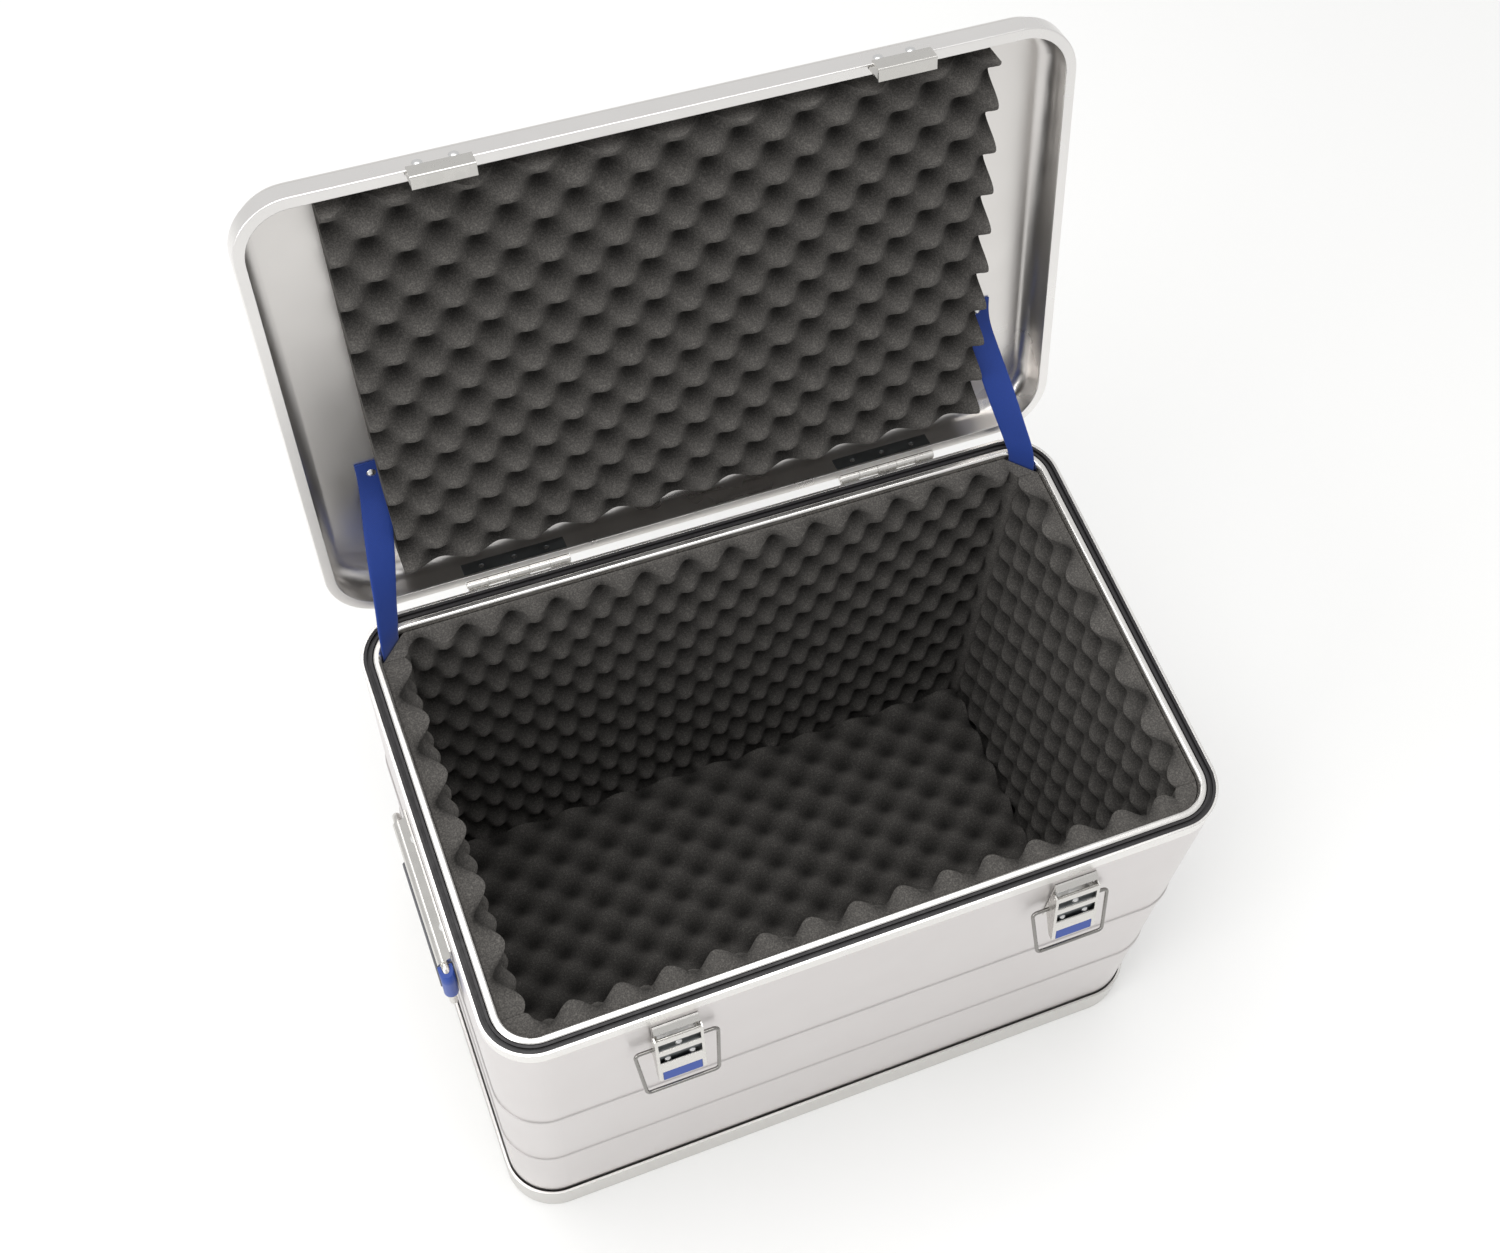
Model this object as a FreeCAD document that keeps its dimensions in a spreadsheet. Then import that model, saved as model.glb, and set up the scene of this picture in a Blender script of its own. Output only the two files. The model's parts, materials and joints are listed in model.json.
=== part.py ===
import FreeCAD, Part
import math
import os
import Sketcher

# Aluminium transport case with a hinged lid, foam lining, two toggle latches and two drop handles.
# Frame: origin in the middle of the underside, X along the length, the latches at -Y, +Z up, millimetres.
# The lid parts are drawn closed and placed open about the hinge axis.

SIZES = {
    # case outline
    "half_length": 290.0, "half_width": 185.0, "corner": 40.0, "rim_top": 411.0,
    # sheet wall and its two stiffening beads
    "wall": 1.5, "wall_inset": 0.3, "bead_low": 134.0, "bead_high": 241.0, "bead_half": 3.5, "bead_out": 1.2,
    "bead_round": 1.1,
    # extruded frame round the base
    "base_proud": 3.5, "base_band": 2.4, "base_height": 34.0, "base_ledge": 14.0, "base_floor": 3.0,
    "base_round": 1.6, "plate_thick": 1.8,
    # extruded frame round the rim, with the seal channel
    "rim_width": 15.0, "rim_height": 14.0, "lip_width": 2.0, "channel_far": 8.5, "channel_deep": 7.0,
    "rim_round": 2.2, "tongue": 10.0, "tongue_thick": 1.6,
    "seal_gap": 0.2, "seal_base": 4.0, "seal_lip": 1.9, "seal_height": 6.6,
    # foam lining
    "foam_thick": 34.0, "foam_gap": 0.3, "foam_top": 405.0, "foam_step": 386.5, "foam_slack": 0.4,
    # lid
    "lid_gap": 0.6, "lid_proud": 3.5, "lid_wider": 4.5, "lid_band": 1.3, "lid_band_height": 15.5, "lid_flange": 4.5,
    "lid_flange_thick": 2.0, "lid_top": 443.1, "lid_sheet": 1.5, "lid_round": 13.5, "lid_angle": 103.5,
    "raise_inset": 34.0, "raise_height": 1.5, "raise_round": 1.4,
    "lid_foam_left": 239.0, "lid_foam_right": 236.0, "lid_foam_half": 169.5, "lid_foam_back": 161.0,
    # hinges
    "hinge_x": 155.0, "hinge_half": 41.0, "hinge_y": 189.8, "barrel": 3.6, "pin": 2.0, "pin_gap": 0.05,
    "leaf_thick": 1.6, "leaf_low": 377.0, "leaf_high": 407.0, "lid_leaf_low": 415.0, "lid_leaf_high": 426.5,
    "knuckle_gap": 0.3, "backing_thick": 1.2, "backing_high": 427.5,
    # catches on the lid
    "catch_x": 159.0, "catch_half": 21.5, "catch_thick": 1.5, "catch_face": 0.6, "catch_deep": 15.5,
    "catch_out": 10.5, "catch_lip": 12.0, "catch_rise": 13.5,
    # latches on the case
    "latch_drop": 9.0, "latch_half": 17.5, "latch_plate": 1.5, "latch_top": 387.0, "latch_bottom": 330.0,
    "axle": 1.2, "axle_out": 6.6, "axle_drop": 27.0, "axle_gap": 0.05,
    "lever_half": 18.5, "lever_sheet": 1.2, "web_behind": 3.2, "bail_out": 4.8, "bail_drop": 50.0, "bail_wire": 1.5,
    "bail_reach": 45.3, "bail_top_half": 32.0, "bail_end_half": 28.0, "bail_rest_out": 22.0,
    # drop handles
    "handle_z": 311.0, "handle_out": 7.2, "rod": 3.3, "rod_gap": 0.05, "hood": 4.9, "hood_half": 61.0,
    "handle_half": 70.0, "handle_drop": 62.0, "handle_round": 7.5, "bracket_high": 333.0,
    "sleeve": 5.7, "grip_half": 52.0, "grip_tall": 9.5, "grip_thick": 5.9,
    # lid straps
    "strap_half": 11.0, "strap_thick": 1.6, "strap_x": 243.5, "strap_y": 77.0,
    # rivets
    "rivet": 2.0, "head": 3.6, "head_high": 1.5, "stud": 1.8,
}

doc = FreeCAD.newDocument("transport_case")
sheet = doc.addObject("Spreadsheet::Sheet", "sizes")
for row, (alias, value) in enumerate(SIZES.items(), start=1):
    sheet.set(f"A{row}", alias)
    sheet.set(f"B{row}", str(value))
    sheet.setAlias(f"B{row}", alias)
doc.recompute()

SIDES = {"left": -1, "right": 1}
parts = []


def number(text):
    """The value of an expression in the sheet's names, such as sizes.rim_top - 3."""
    return float(sheet.evalExpression(text))


def size(alias):
    return number(f"sizes.{alias}")


def keep(item, label):
    item.Label = label
    parts.append(item)
    return item


# ---------------------------------------------------------------- sketches and features


def new_body(name):
    return doc.addObject("PartDesign::Body", name)


def new_sketch(body, role, offset="0"):
    """A sketch on one of the body's origin planes, moved off it by an expression."""
    sketch = body.newObject("Sketcher::SketchObject", f"{body.Name}_outline")
    plane = next(item for item in body.Origin.OriginFeatures if item.Role == role)
    sketch.AttachmentSupport = (plane, [""])
    sketch.MapMode = "FlatFace"
    sketch.setExpression("AttachmentOffset.Base.z", offset)
    return sketch


def bind(sketch, kind, place, text):
    """Adds a dimension to a sketch and ties it to an expression."""
    value = number(text)
    index = sketch.addConstraint(Sketcher.Constraint(kind, *place, value))
    sketch.setExpression(f"Constraints[{index}]", text)


def at_distance(sketch, kind, curve, point, text):
    if abs(number(text)) < 1e-9:
        axis = -2 if kind == "DistanceX" else -1
        sketch.addConstraint(Sketcher.Constraint("PointOnObject", curve, point, axis))
    else:
        bind(sketch, kind, (-1, 1, curve, point), text)


def polygon(sketch, corners):
    """A closed outline through corners, each a pair of expressions."""
    points = [FreeCAD.Vector(number(a), number(b), 0) for a, b in corners]
    first = sketch.GeometryCount
    for start, end in zip(points, points[1:] + points[:1]):
        sketch.addGeometry(Part.LineSegment(start, end), False)
    for i, (across, up) in enumerate(corners):
        following = first + (i + 1) % len(corners)
        sketch.addConstraint(Sketcher.Constraint("Coincident", first + i, 2, following, 1))
        at_distance(sketch, "DistanceX", first + i, 1, across)
        at_distance(sketch, "DistanceY", first + i, 1, up)


def rectangle(sketch, low_x, low_y, high_x, high_y):
    polygon(sketch, [(low_x, low_y), (high_x, low_y), (high_x, high_y), (low_x, high_y)])


def circle(sketch, across, up, radius):
    index = sketch.addGeometry(
        Part.Circle(FreeCAD.Vector(number(across), number(up), 0), FreeCAD.Vector(0, 0, 1), number(radius)), False)
    at_distance(sketch, "DistanceX", index, 3, across)
    at_distance(sketch, "DistanceY", index, 3, up)
    bind(sketch, "Radius", (index,), radius)


def rounded_outline(sketch, inset, wider="0"):
    """The case's outline with its four round corners, drawn in by an inset and longer at each end by wider."""
    across = f"sizes.half_length + {wider} - ({inset})"
    deep = f"sizes.half_width - ({inset})"
    bend = f"sizes.corner - ({inset})"
    a, b, r = number(across), number(deep), number(bend)
    first = sketch.GeometryCount
    runs = [((-a + r, -b), (a - r, -b)), ((a, -b + r), (a, b - r)), ((a - r, b), (-a + r, b)), ((-a, b - r), (-a, -b + r))]
    for start, end in runs:
        sketch.addGeometry(Part.LineSegment(FreeCAD.Vector(*start, 0), FreeCAD.Vector(*end, 0)), False)
    centres = [(a - r, -b + r), (a - r, b - r), (-a + r, b - r), (-a + r, -b + r)]
    for turn, centre in enumerate(centres, start=-1):
        ring = Part.Circle(FreeCAD.Vector(*centre, 0), FreeCAD.Vector(0, 0, 1), r)
        sketch.addGeometry(Part.ArcOfCircle(ring, turn * math.pi / 2, (turn + 1) * math.pi / 2), False)
    for i in range(4):
        run, arc, following = first + i, first + 4 + i, first + (i + 1) % 4
        sketch.addConstraint(Sketcher.Constraint("Tangent", run, 2, arc, 1))
        sketch.addConstraint(Sketcher.Constraint("Tangent", arc, 2, following, 1))
        sketch.addConstraint(Sketcher.Constraint("Vertical" if i % 2 else "Horizontal", run))
        if i:
            sketch.addConstraint(Sketcher.Constraint("Equal", first + 4, arc))
    bind(sketch, "Radius", (first + 4,), bend)
    bind(sketch, "DistanceY", (first, 1, -1, 1), deep)
    bind(sketch, "DistanceX", (-1, 1, first + 1, 1), across)
    bind(sketch, "DistanceY", (-1, 1, first + 2, 1), deep)
    bind(sketch, "DistanceX", (first + 3, 1, -1, 1), across)


def pad(body, sketch, length, both_ways=False):
    feature = body.newObject("PartDesign::Pad", f"{body.Name}_pad")
    feature.Profile = sketch
    feature.setExpression("Length", length)
    if both_ways:
        feature.SideType = "Symmetric"
    body.Tip = feature
    doc.recompute()
    return feature


def pocket(body, sketch, length, both_ways=False, backwards=False):
    before = body.Shape.Volume
    feature = body.newObject("PartDesign::Pocket", f"{body.Name}_pocket")
    feature.Profile = sketch
    feature.setExpression("Length", length)
    feature.Reversed = backwards
    if both_ways:
        feature.SideType = "Symmetric"
    body.Tip = feature
    doc.recompute()
    if body.Shape.Volume > before - 0.01:
        raise RuntimeError(f"{feature.Name} cuts nothing")
    return feature


def soften(body, radius, chosen, kind="Fillet"):
    """Rounds or bevels the edges of the body that the test picks."""
    tip = body.Tip
    names = [f"Edge{i}" for i, edge in enumerate(tip.Shape.Edges, start=1) if chosen(edge)]
    if not names:
        raise RuntimeError(f"{body.Name} has no such edges")
    feature = body.newObject(f"PartDesign::{kind}", f"{body.Name}_{kind.lower()}")
    feature.Base = (tip, names)
    feature.setExpression("Radius" if kind == "Fillet" else "Size", radius)
    body.Tip = feature
    doc.recompute()


def level(z, inset, wider=0.0):
    """Picks the edges that lie at height z on the case's outline drawn in by the inset."""
    across, deep = size("half_length") + wider - inset, size("half_width") - inset

    def test(edge):
        box = edge.BoundBox
        if abs(box.ZMin - z) > 0.01 or abs(box.ZMax - z) > 0.01:
            return False
        return max(abs(abs(box.XMax) - across), 0) < 0.01 or abs(abs(box.XMin) - across) < 0.01 \
            or abs(abs(box.YMax) - deep) < 0.01 or abs(abs(box.YMin) - deep) < 0.01
    return test


def ring(body, low, height, outer, inner, wider="0"):
    """Adds a band round the case between two insets, standing height above low."""
    sketch = new_sketch(body, "XY_Plane", low)
    rounded_outline(sketch, outer, wider)
    rounded_outline(sketch, inner, wider)
    return pad(body, sketch, height)


def slab(body, low, height, inset, wider="0"):
    sketch = new_sketch(body, "XY_Plane", low)
    rounded_outline(sketch, inset, wider)
    return pad(body, sketch, height)


def drill(body, role, places, radius, reach, offset="0"):
    """Bores round holes both ways from one plane; reach is the whole length of the cut."""
    sketch = new_sketch(body, role, offset)
    for across, up in places:
        circle(sketch, across, up, radius)
    return pocket(body, sketch, reach, both_ways=True)


# ---------------------------------------------------------------- rivets


def rivet(place, direction, shank, head, radius):
    """A round-headed rivet: its head stands on place, its shank runs back against direction."""
    high = size("head_high")
    ball = (head * head + high * high) / (2 * high)
    dome = Part.makeSphere(ball, FreeCAD.Vector(0, 0, high - ball))
    cap = dome.common(Part.makeCylinder(head, high))
    body = cap.fuse(Part.makeCylinder(radius, shank, FreeCAD.Vector(0, 0, -shank))).removeSplitter()
    turn = FreeCAD.Rotation(FreeCAD.Vector(0, 0, 1), FreeCAD.Vector(*direction))
    body.Placement = FreeCAD.Placement(FreeCAD.Vector(*place), turn)
    return body


def rivet_set(label, rivets, placement=None, head=None, radius=None):
    """Identical rivets kept in one node as separate solids."""
    group = doc.addObject("Part::Feature", label)
    head, radius = head or size("head"), radius or size("rivet")
    group.Shape = Part.makeCompound([rivet(*one, head, radius) for one in rivets])
    if placement:
        group.Placement = placement
    return keep(group, label)


# ---------------------------------------------------------------- case


OUTSIDE = "sizes.wall_inset"
INSIDE = "sizes.wall_inset + sizes.wall"
LATCH_HOLES = [("-10", "sizes.latch_bottom + 5"), ("10", "sizes.latch_bottom + 5"), ("0", "sizes.latch_bottom + 18")]
HANDLE_HOLES = [("-38", "sizes.bracket_high - 7"), ("38", "sizes.bracket_high - 7")]
HINGE_HOLES = [("-26", "sizes.leaf_low + 7"), ("26", "sizes.leaf_low + 7"), ("0", "sizes.leaf_low + 7")]


def shifted(places, centre):
    return [(f"({across}) + ({centre})", up) for across, up in places]


def body_shell():
    body = new_body("body_shell")
    ring(body, "sizes.base_floor", "sizes.rim_top - sizes.rim_height - sizes.base_floor", OUTSIDE, INSIDE)
    for bead in ("sizes.bead_low", "sizes.bead_high"):
        ring(body, f"{bead} - sizes.bead_half", "2 * sizes.bead_half", "sizes.wall_inset - sizes.bead_out",
             "sizes.wall_inset + sizes.wall / 2")
        for end in (-1, 1):
            height = number(f"{bead} + ({end}) * sizes.bead_half")
            soften(body, "sizes.bead_round", level(height, size("wall_inset") - size("bead_out")))
    latches = shifted(LATCH_HOLES, "-sizes.catch_x") + shifted(LATCH_HOLES, "sizes.catch_x")
    drill(body, "XZ_Plane", latches, "sizes.rivet", "8", "sizes.half_width")
    hinges = shifted(HINGE_HOLES, "-sizes.hinge_x") + shifted(HINGE_HOLES, "sizes.hinge_x")
    drill(body, "XZ_Plane", hinges, "sizes.rivet", "8", "-sizes.half_width")
    drill(body, "YZ_Plane", HANDLE_HOLES, "sizes.rivet", "2 * sizes.half_length + 8")
    return keep(body, "body_shell")


def base_frame():
    body = new_body("base_frame")
    ring(body, "0", "sizes.base_floor", "-sizes.base_proud", "sizes.base_ledge")
    ring(body, "0", "sizes.base_height", "-sizes.base_proud", "sizes.base_band - sizes.base_proud")
    soften(body, "sizes.base_round", level(0.0, -size("base_proud")))
    soften(body, "sizes.base_round / 2", level(size("base_height"), -size("base_proud")))
    return keep(body, "base_frame")


def base_plate():
    """Floor sheet, pressed down inside the base frame's ledge so both undersides are level."""
    body = new_body("base_plate")
    slab(body, "sizes.base_floor", "sizes.plate_thick", INSIDE)
    slab(body, "0", "sizes.base_floor", "sizes.base_ledge + 0.3")
    sketch = new_sketch(body, "XY_Plane", "sizes.plate_thick")
    rounded_outline(sketch, "sizes.base_ledge + 0.3 + sizes.plate_thick")
    pocket(body, sketch, "sizes.base_floor + 1", backwards=True)
    return keep(body, "base_plate")


def rim_frame():
    body = new_body("rim_frame")
    low = "sizes.rim_top - sizes.rim_height"
    ring(body, low, "sizes.rim_height", "0", "sizes.rim_width")
    sketch = new_sketch(body, "XY_Plane", "sizes.rim_top")
    rounded_outline(sketch, "sizes.lip_width")
    rounded_outline(sketch, "sizes.channel_far")
    pocket(body, sketch, "sizes.channel_deep")
    for inset in ("channel_far", "rim_width"):
        soften(body, "sizes.rim_round", level(size("rim_top"), size(inset)))
    ring(body, f"{low} - sizes.tongue", "sizes.tongue", f"{INSIDE} + 0.2", f"{INSIDE} + 0.2 + sizes.tongue_thick")
    return keep(body, "rim_frame")


def rim_seal():
    """Rubber with two lips, pressed into the channel."""
    body = new_body("rim_seal")
    outer = "sizes.lip_width + sizes.seal_gap"
    inner = "sizes.channel_far - sizes.seal_gap"
    floor = "sizes.rim_top - sizes.channel_deep"
    ring(body, floor, "sizes.seal_base", outer, inner)
    ring(body, floor, "sizes.seal_height", outer, f"{outer} + sizes.seal_lip")
    ring(body, floor, "sizes.seal_height", f"{inner} - sizes.seal_lip", inner)
    return keep(body, "rim_seal")


# ---------------------------------------------------------------- foam lining


def strap_slot(side):
    """Corners of the slot that the strap runs down, across the inner round of a back corner."""
    slot_half, slot_near, slot_far = 13.0, 19.4, 29.0
    centre_x = f"{side} * (sizes.half_length - sizes.corner)"
    centre_y = "sizes.half_width - sizes.corner"
    turn = math.sqrt(0.5)
    corners = []
    for along, away in ((-slot_half, slot_near), (slot_half, slot_near), (slot_half, slot_far), (-slot_half, slot_far)):
        corners.append((f"{centre_x} + {side * (away - along) * turn:.4f}", f"{centre_y} + {(away + along) * turn:.4f}"))
    return corners


def foam_wall(label, corners, slots=()):
    """One wall pad: the lining's band cut off by a rectangle, narrower where it passes the rim frame."""
    body = new_body(label)
    low = "sizes.base_floor + sizes.plate_thick"
    sketch = new_sketch(body, "XY_Plane", low)
    rectangle(sketch, *corners)
    pad(body, sketch, f"sizes.foam_top - ({low})")
    for start, inset in ((low, f"{INSIDE} + sizes.foam_gap"), ("sizes.foam_step", "sizes.rim_width + sizes.foam_slack")):
        sketch = new_sketch(body, "XY_Plane", start)
        rounded_outline(sketch, inset)
        rectangle(sketch, "-sizes.half_length - 5", "-sizes.half_width - 5", "sizes.half_length + 5",
                  "sizes.half_width + 5")
        pocket(body, sketch, "sizes.rim_top", backwards=True)
    for side in slots:
        sketch = new_sketch(body, "XY_Plane", "sizes.foam_top")
        polygon(sketch, strap_slot(side))
        pocket(body, sketch, "60")
    return keep(body, label)


def foam_lining():
    face_x = f"(sizes.half_length - ({INSIDE}) - sizes.foam_thick)"
    face_y = f"(sizes.half_width - ({INSIDE}) - sizes.foam_thick)"
    end_x, end_y = "sizes.half_length", "sizes.half_width"
    foam_wall("foam_front", (f"-{end_x}", f"-{end_y}", end_x, f"-{face_y}"))
    foam_wall("foam_back", (f"-{end_x}", face_y, end_x, end_y), slots=(-1, 1))
    between = f"({face_y} - sizes.foam_gap)"
    foam_wall("foam_left", (f"-{end_x}", f"-{between}", f"-{face_x}", between))
    foam_wall("foam_right", (face_x, f"-{between}", end_x, between))
    base = new_body("foam_base")
    sketch = new_sketch(base, "XY_Plane", "sizes.plate_thick")
    rectangle(sketch, f"-{face_x} + sizes.foam_gap", f"-{between}", f"{face_x} - sizes.foam_gap", between)
    pad(base, sketch, "sizes.foam_thick + sizes.base_floor")
    keep(base, "foam_base")


# ---------------------------------------------------------------- lid


def lid_placement():
    centre = FreeCAD.Vector(0, size("hinge_y"), size("rim_top"))
    return FreeCAD.Placement(FreeCAD.Vector(), FreeCAD.Rotation(FreeCAD.Vector(1, 0, 0), -size("lid_angle")), centre)


def on_lid(item):
    item.Placement = lid_placement()
    return item


WIDER = "sizes.lid_wider"
CATCH_HOLES = [("-12", "sizes.rim_top + 7"), ("12", "sizes.rim_top + 7")]
LID_HINGE_HOLES = [("-26", "sizes.lid_leaf_low + 6"), ("26", "sizes.lid_leaf_low + 6"), ("0", "sizes.lid_leaf_low + 6")]
PARTING = "sizes.rim_top + sizes.lid_gap"


def lid_frame():
    """A channel section round the lid's mouth: outer band, flange over the seal and a turned-in top edge."""
    body = new_body("lid_frame")
    outer = "-sizes.lid_proud"
    ring(body, PARTING, "sizes.lid_band_height", outer, f"{outer} + sizes.lid_band", WIDER)
    ring(body, PARTING, "sizes.lid_flange_thick", outer, "sizes.lid_flange", WIDER)
    ring(body, f"{PARTING} + sizes.lid_band_height - 1.5", "1.5", outer, "-0.1", WIDER)
    soften(body, "0.9", level(number(PARTING), -size("lid_proud"), size("lid_wider")))
    soften(body, "0.9", level(number(f"{PARTING} + sizes.lid_band_height"), -size("lid_proud"), size("lid_wider")))
    for side in SIDES.values():
        sketch = new_sketch(body, "XY_Plane", PARTING)
        middle = f"{side} * sizes.catch_x"
        near = "-sizes.half_width - sizes.catch_face"
        rectangle(sketch, f"{middle} - sizes.catch_half - 0.3", f"{near} - sizes.catch_thick - 0.1",
                  f"{middle} + sizes.catch_half + 0.3", f"{near} + 0.2")
        pocket(body, sketch, "sizes.lid_flange_thick + 0.5", backwards=True)
        sketch = new_sketch(body, "XY_Plane", PARTING)
        middle = f"{side} * sizes.hinge_x"
        rectangle(sketch, f"{middle} - sizes.hinge_half - 0.9", "sizes.hinge_y - sizes.barrel - 0.5",
                  f"{middle} + sizes.hinge_half + 0.9", "sizes.half_width + sizes.lid_proud + 0.5")
        pocket(body, sketch, "sizes.barrel + 0.6", backwards=True)
    catches = shifted(CATCH_HOLES, "-sizes.catch_x") + shifted(CATCH_HOLES, "sizes.catch_x")
    drill(body, "XZ_Plane", catches, "sizes.rivet", "6", "sizes.half_width + 3")
    hinges = shifted(LID_HINGE_HOLES, "-sizes.hinge_x") + shifted(LID_HINGE_HOLES, "sizes.hinge_x")
    drill(body, "XZ_Plane", hinges, "sizes.rivet", "6", "-sizes.half_width - 3")
    return keep(on_lid(body), "lid_frame")


def lid_panel():
    """Drawn sheet: a flat top with a raised field, and walls that stand inside the lid frame."""
    body = new_body("lid_panel")
    low = f"{PARTING} + sizes.lid_flange_thick + 0.2"
    slab(body, low, f"sizes.lid_top - ({low})", "0", WIDER)
    sketch = new_sketch(body, "XY_Plane", low)
    rounded_outline(sketch, "sizes.lid_sheet", WIDER)
    pocket(body, sketch, f"sizes.lid_top - sizes.lid_sheet - ({low})", backwards=True)
    inner_round, ceiling = "sizes.lid_round - sizes.lid_sheet", number("sizes.lid_top - sizes.lid_sheet")
    wider = size("lid_wider")
    soften(body, inner_round, level(ceiling, size("lid_sheet"), wider))
    soften(body, "sizes.lid_round", level(size("lid_top"), 0.0, wider))
    slab(body, "sizes.lid_top - 0.5", "sizes.raise_height + 0.5", "sizes.raise_inset", WIDER)
    soften(body, "sizes.raise_round", level(number("sizes.lid_top + sizes.raise_height"), size("raise_inset"), wider))
    hinges = shifted(LID_HINGE_HOLES, "-sizes.hinge_x") + shifted(LID_HINGE_HOLES, "sizes.hinge_x")
    drill(body, "XZ_Plane", hinges, "sizes.rivet", "8", "-sizes.half_width")
    return keep(on_lid(body), "lid_panel")


def lid_foam():
    body = new_body("lid_foam")
    sketch = new_sketch(body, "XY_Plane", "sizes.lid_top - sizes.lid_sheet - 0.1")
    rectangle(sketch, "-sizes.lid_foam_left", "-sizes.lid_foam_half", "sizes.lid_foam_right", "sizes.lid_foam_back")
    feature = pad(body, sketch, "sizes.foam_thick")
    feature.Reversed = True
    doc.recompute()
    for side in SIDES.values():
        sketch = new_sketch(body, "XY_Plane", "sizes.rim_top - 10")
        near, far = f"{side} * (sizes.strap_x - sizes.strap_half - 0.6)", f"{side} * (sizes.strap_x + 20)"
        rectangle(sketch, near, "sizes.strap_y - 14", far, "sizes.strap_y + 71")
        pocket(body, sketch, "60", backwards=True)
    return keep(on_lid(body), "lid_foam")


# ---------------------------------------------------------------- hinges


KNUCKLES = 5


def knuckle_span(index):
    """Where one hinge knuckle starts, from the hinge's middle, and how wide it is."""
    pitch = "(2 * sizes.hinge_half / 5)"
    return f"-sizes.hinge_half + {index} * {pitch} + sizes.knuckle_gap / 2", f"{pitch} - sizes.knuckle_gap"


def leaf(label, side, flat, arm, knuckles, holes):
    """One hinge leaf: a riveted flat, arms to the axis and its share of the knuckles."""
    body = new_body(label)
    middle = f"{side} * sizes.hinge_x"
    sketch = new_sketch(body, "YZ_Plane", middle)
    rectangle(sketch, *flat)
    pad(body, sketch, "2 * sizes.hinge_half", both_ways=True)
    for index in knuckles:
        start, width = knuckle_span(index)
        sketch = new_sketch(body, "YZ_Plane", f"{middle} + ({start})")
        rectangle(sketch, *arm)
        pad(body, sketch, width)
        sketch = new_sketch(body, "YZ_Plane", f"{middle} + ({start})")
        circle(sketch, "sizes.hinge_y", "sizes.rim_top", "sizes.barrel")
        pad(body, sketch, width)
    drill(body, "YZ_Plane", [("sizes.hinge_y", "sizes.rim_top")], "sizes.pin + sizes.pin_gap",
          "2 * sizes.hinge_half + 4", middle)
    drill(body, "XZ_Plane", shifted(holes, middle), "sizes.rivet", "20", "-sizes.half_width")
    return keep(body, label)


def hinge(name, side):
    back = "sizes.half_width"
    leaf(f"hinge_{name}_body_leaf", side,
         (back, "sizes.leaf_low", f"{back} + sizes.leaf_thick", "sizes.leaf_high"),
         (back, "sizes.leaf_high - 0.4", "sizes.hinge_y", "sizes.leaf_high + sizes.leaf_thick"),
         range(0, KNUCKLES, 2), HINGE_HOLES)
    face = "sizes.half_width + sizes.lid_proud"
    on_lid(leaf(f"hinge_{name}_lid_leaf", side,
                (face, "sizes.lid_leaf_low", f"{face} + sizes.leaf_thick", "sizes.lid_leaf_high"),
                (f"{face} + 0.5", "sizes.rim_top", f"{face} + 0.5 + sizes.leaf_thick", "sizes.lid_leaf_low + 1"),
                range(1, KNUCKLES, 2), LID_HINGE_HOLES))
    pin = doc.addObject("Part::Cylinder", f"hinge_{name}_pin")
    pin.setExpression("Radius", "sizes.pin")
    pin.setExpression("Height", "2 * sizes.hinge_half + 1")
    start = FreeCAD.Vector(side * size("hinge_x") - size("hinge_half") - 0.5, size("hinge_y"), size("rim_top"))
    pin.Placement = FreeCAD.Placement(start, FreeCAD.Rotation(FreeCAD.Vector(0, 1, 0), 90))
    keep(pin, f"hinge_{name}_pin")
    backing = new_body(f"hinge_{name}_backing")
    sketch = new_sketch(backing, "YZ_Plane", f"{side} * sizes.hinge_x")
    inner = "sizes.half_width - sizes.lid_sheet"
    rectangle(sketch, f"{inner} - sizes.backing_thick", "sizes.lid_leaf_low", inner, "sizes.backing_high")
    pad(backing, sketch, "2 * sizes.hinge_half", both_ways=True)
    drill(backing, "XZ_Plane", shifted(LID_HINGE_HOLES, f"{side} * sizes.hinge_x"), "sizes.rivet", "20",
          "-sizes.half_width")
    keep(on_lid(backing), f"hinge_{name}_backing")


def hinge_rivets():
    low, high = size("leaf_low") + 7, size("lid_leaf_low") + 6
    places = [side * size("hinge_x") + across for side in SIDES.values() for across in (-26, 0, 26)]
    face = size("half_width") + size("leaf_thick")
    rivet_set("hinge_body_rivets", [((x, face, low), (0, 1, 0), 3.3) for x in places])
    face = size("half_width") + size("lid_proud") + size("leaf_thick")
    rivet_set("hinge_lid_rivets", [((x, face, high), (0, 1, 0), 7.6) for x in places], lid_placement())


# ---------------------------------------------------------------- catches and latches


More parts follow.
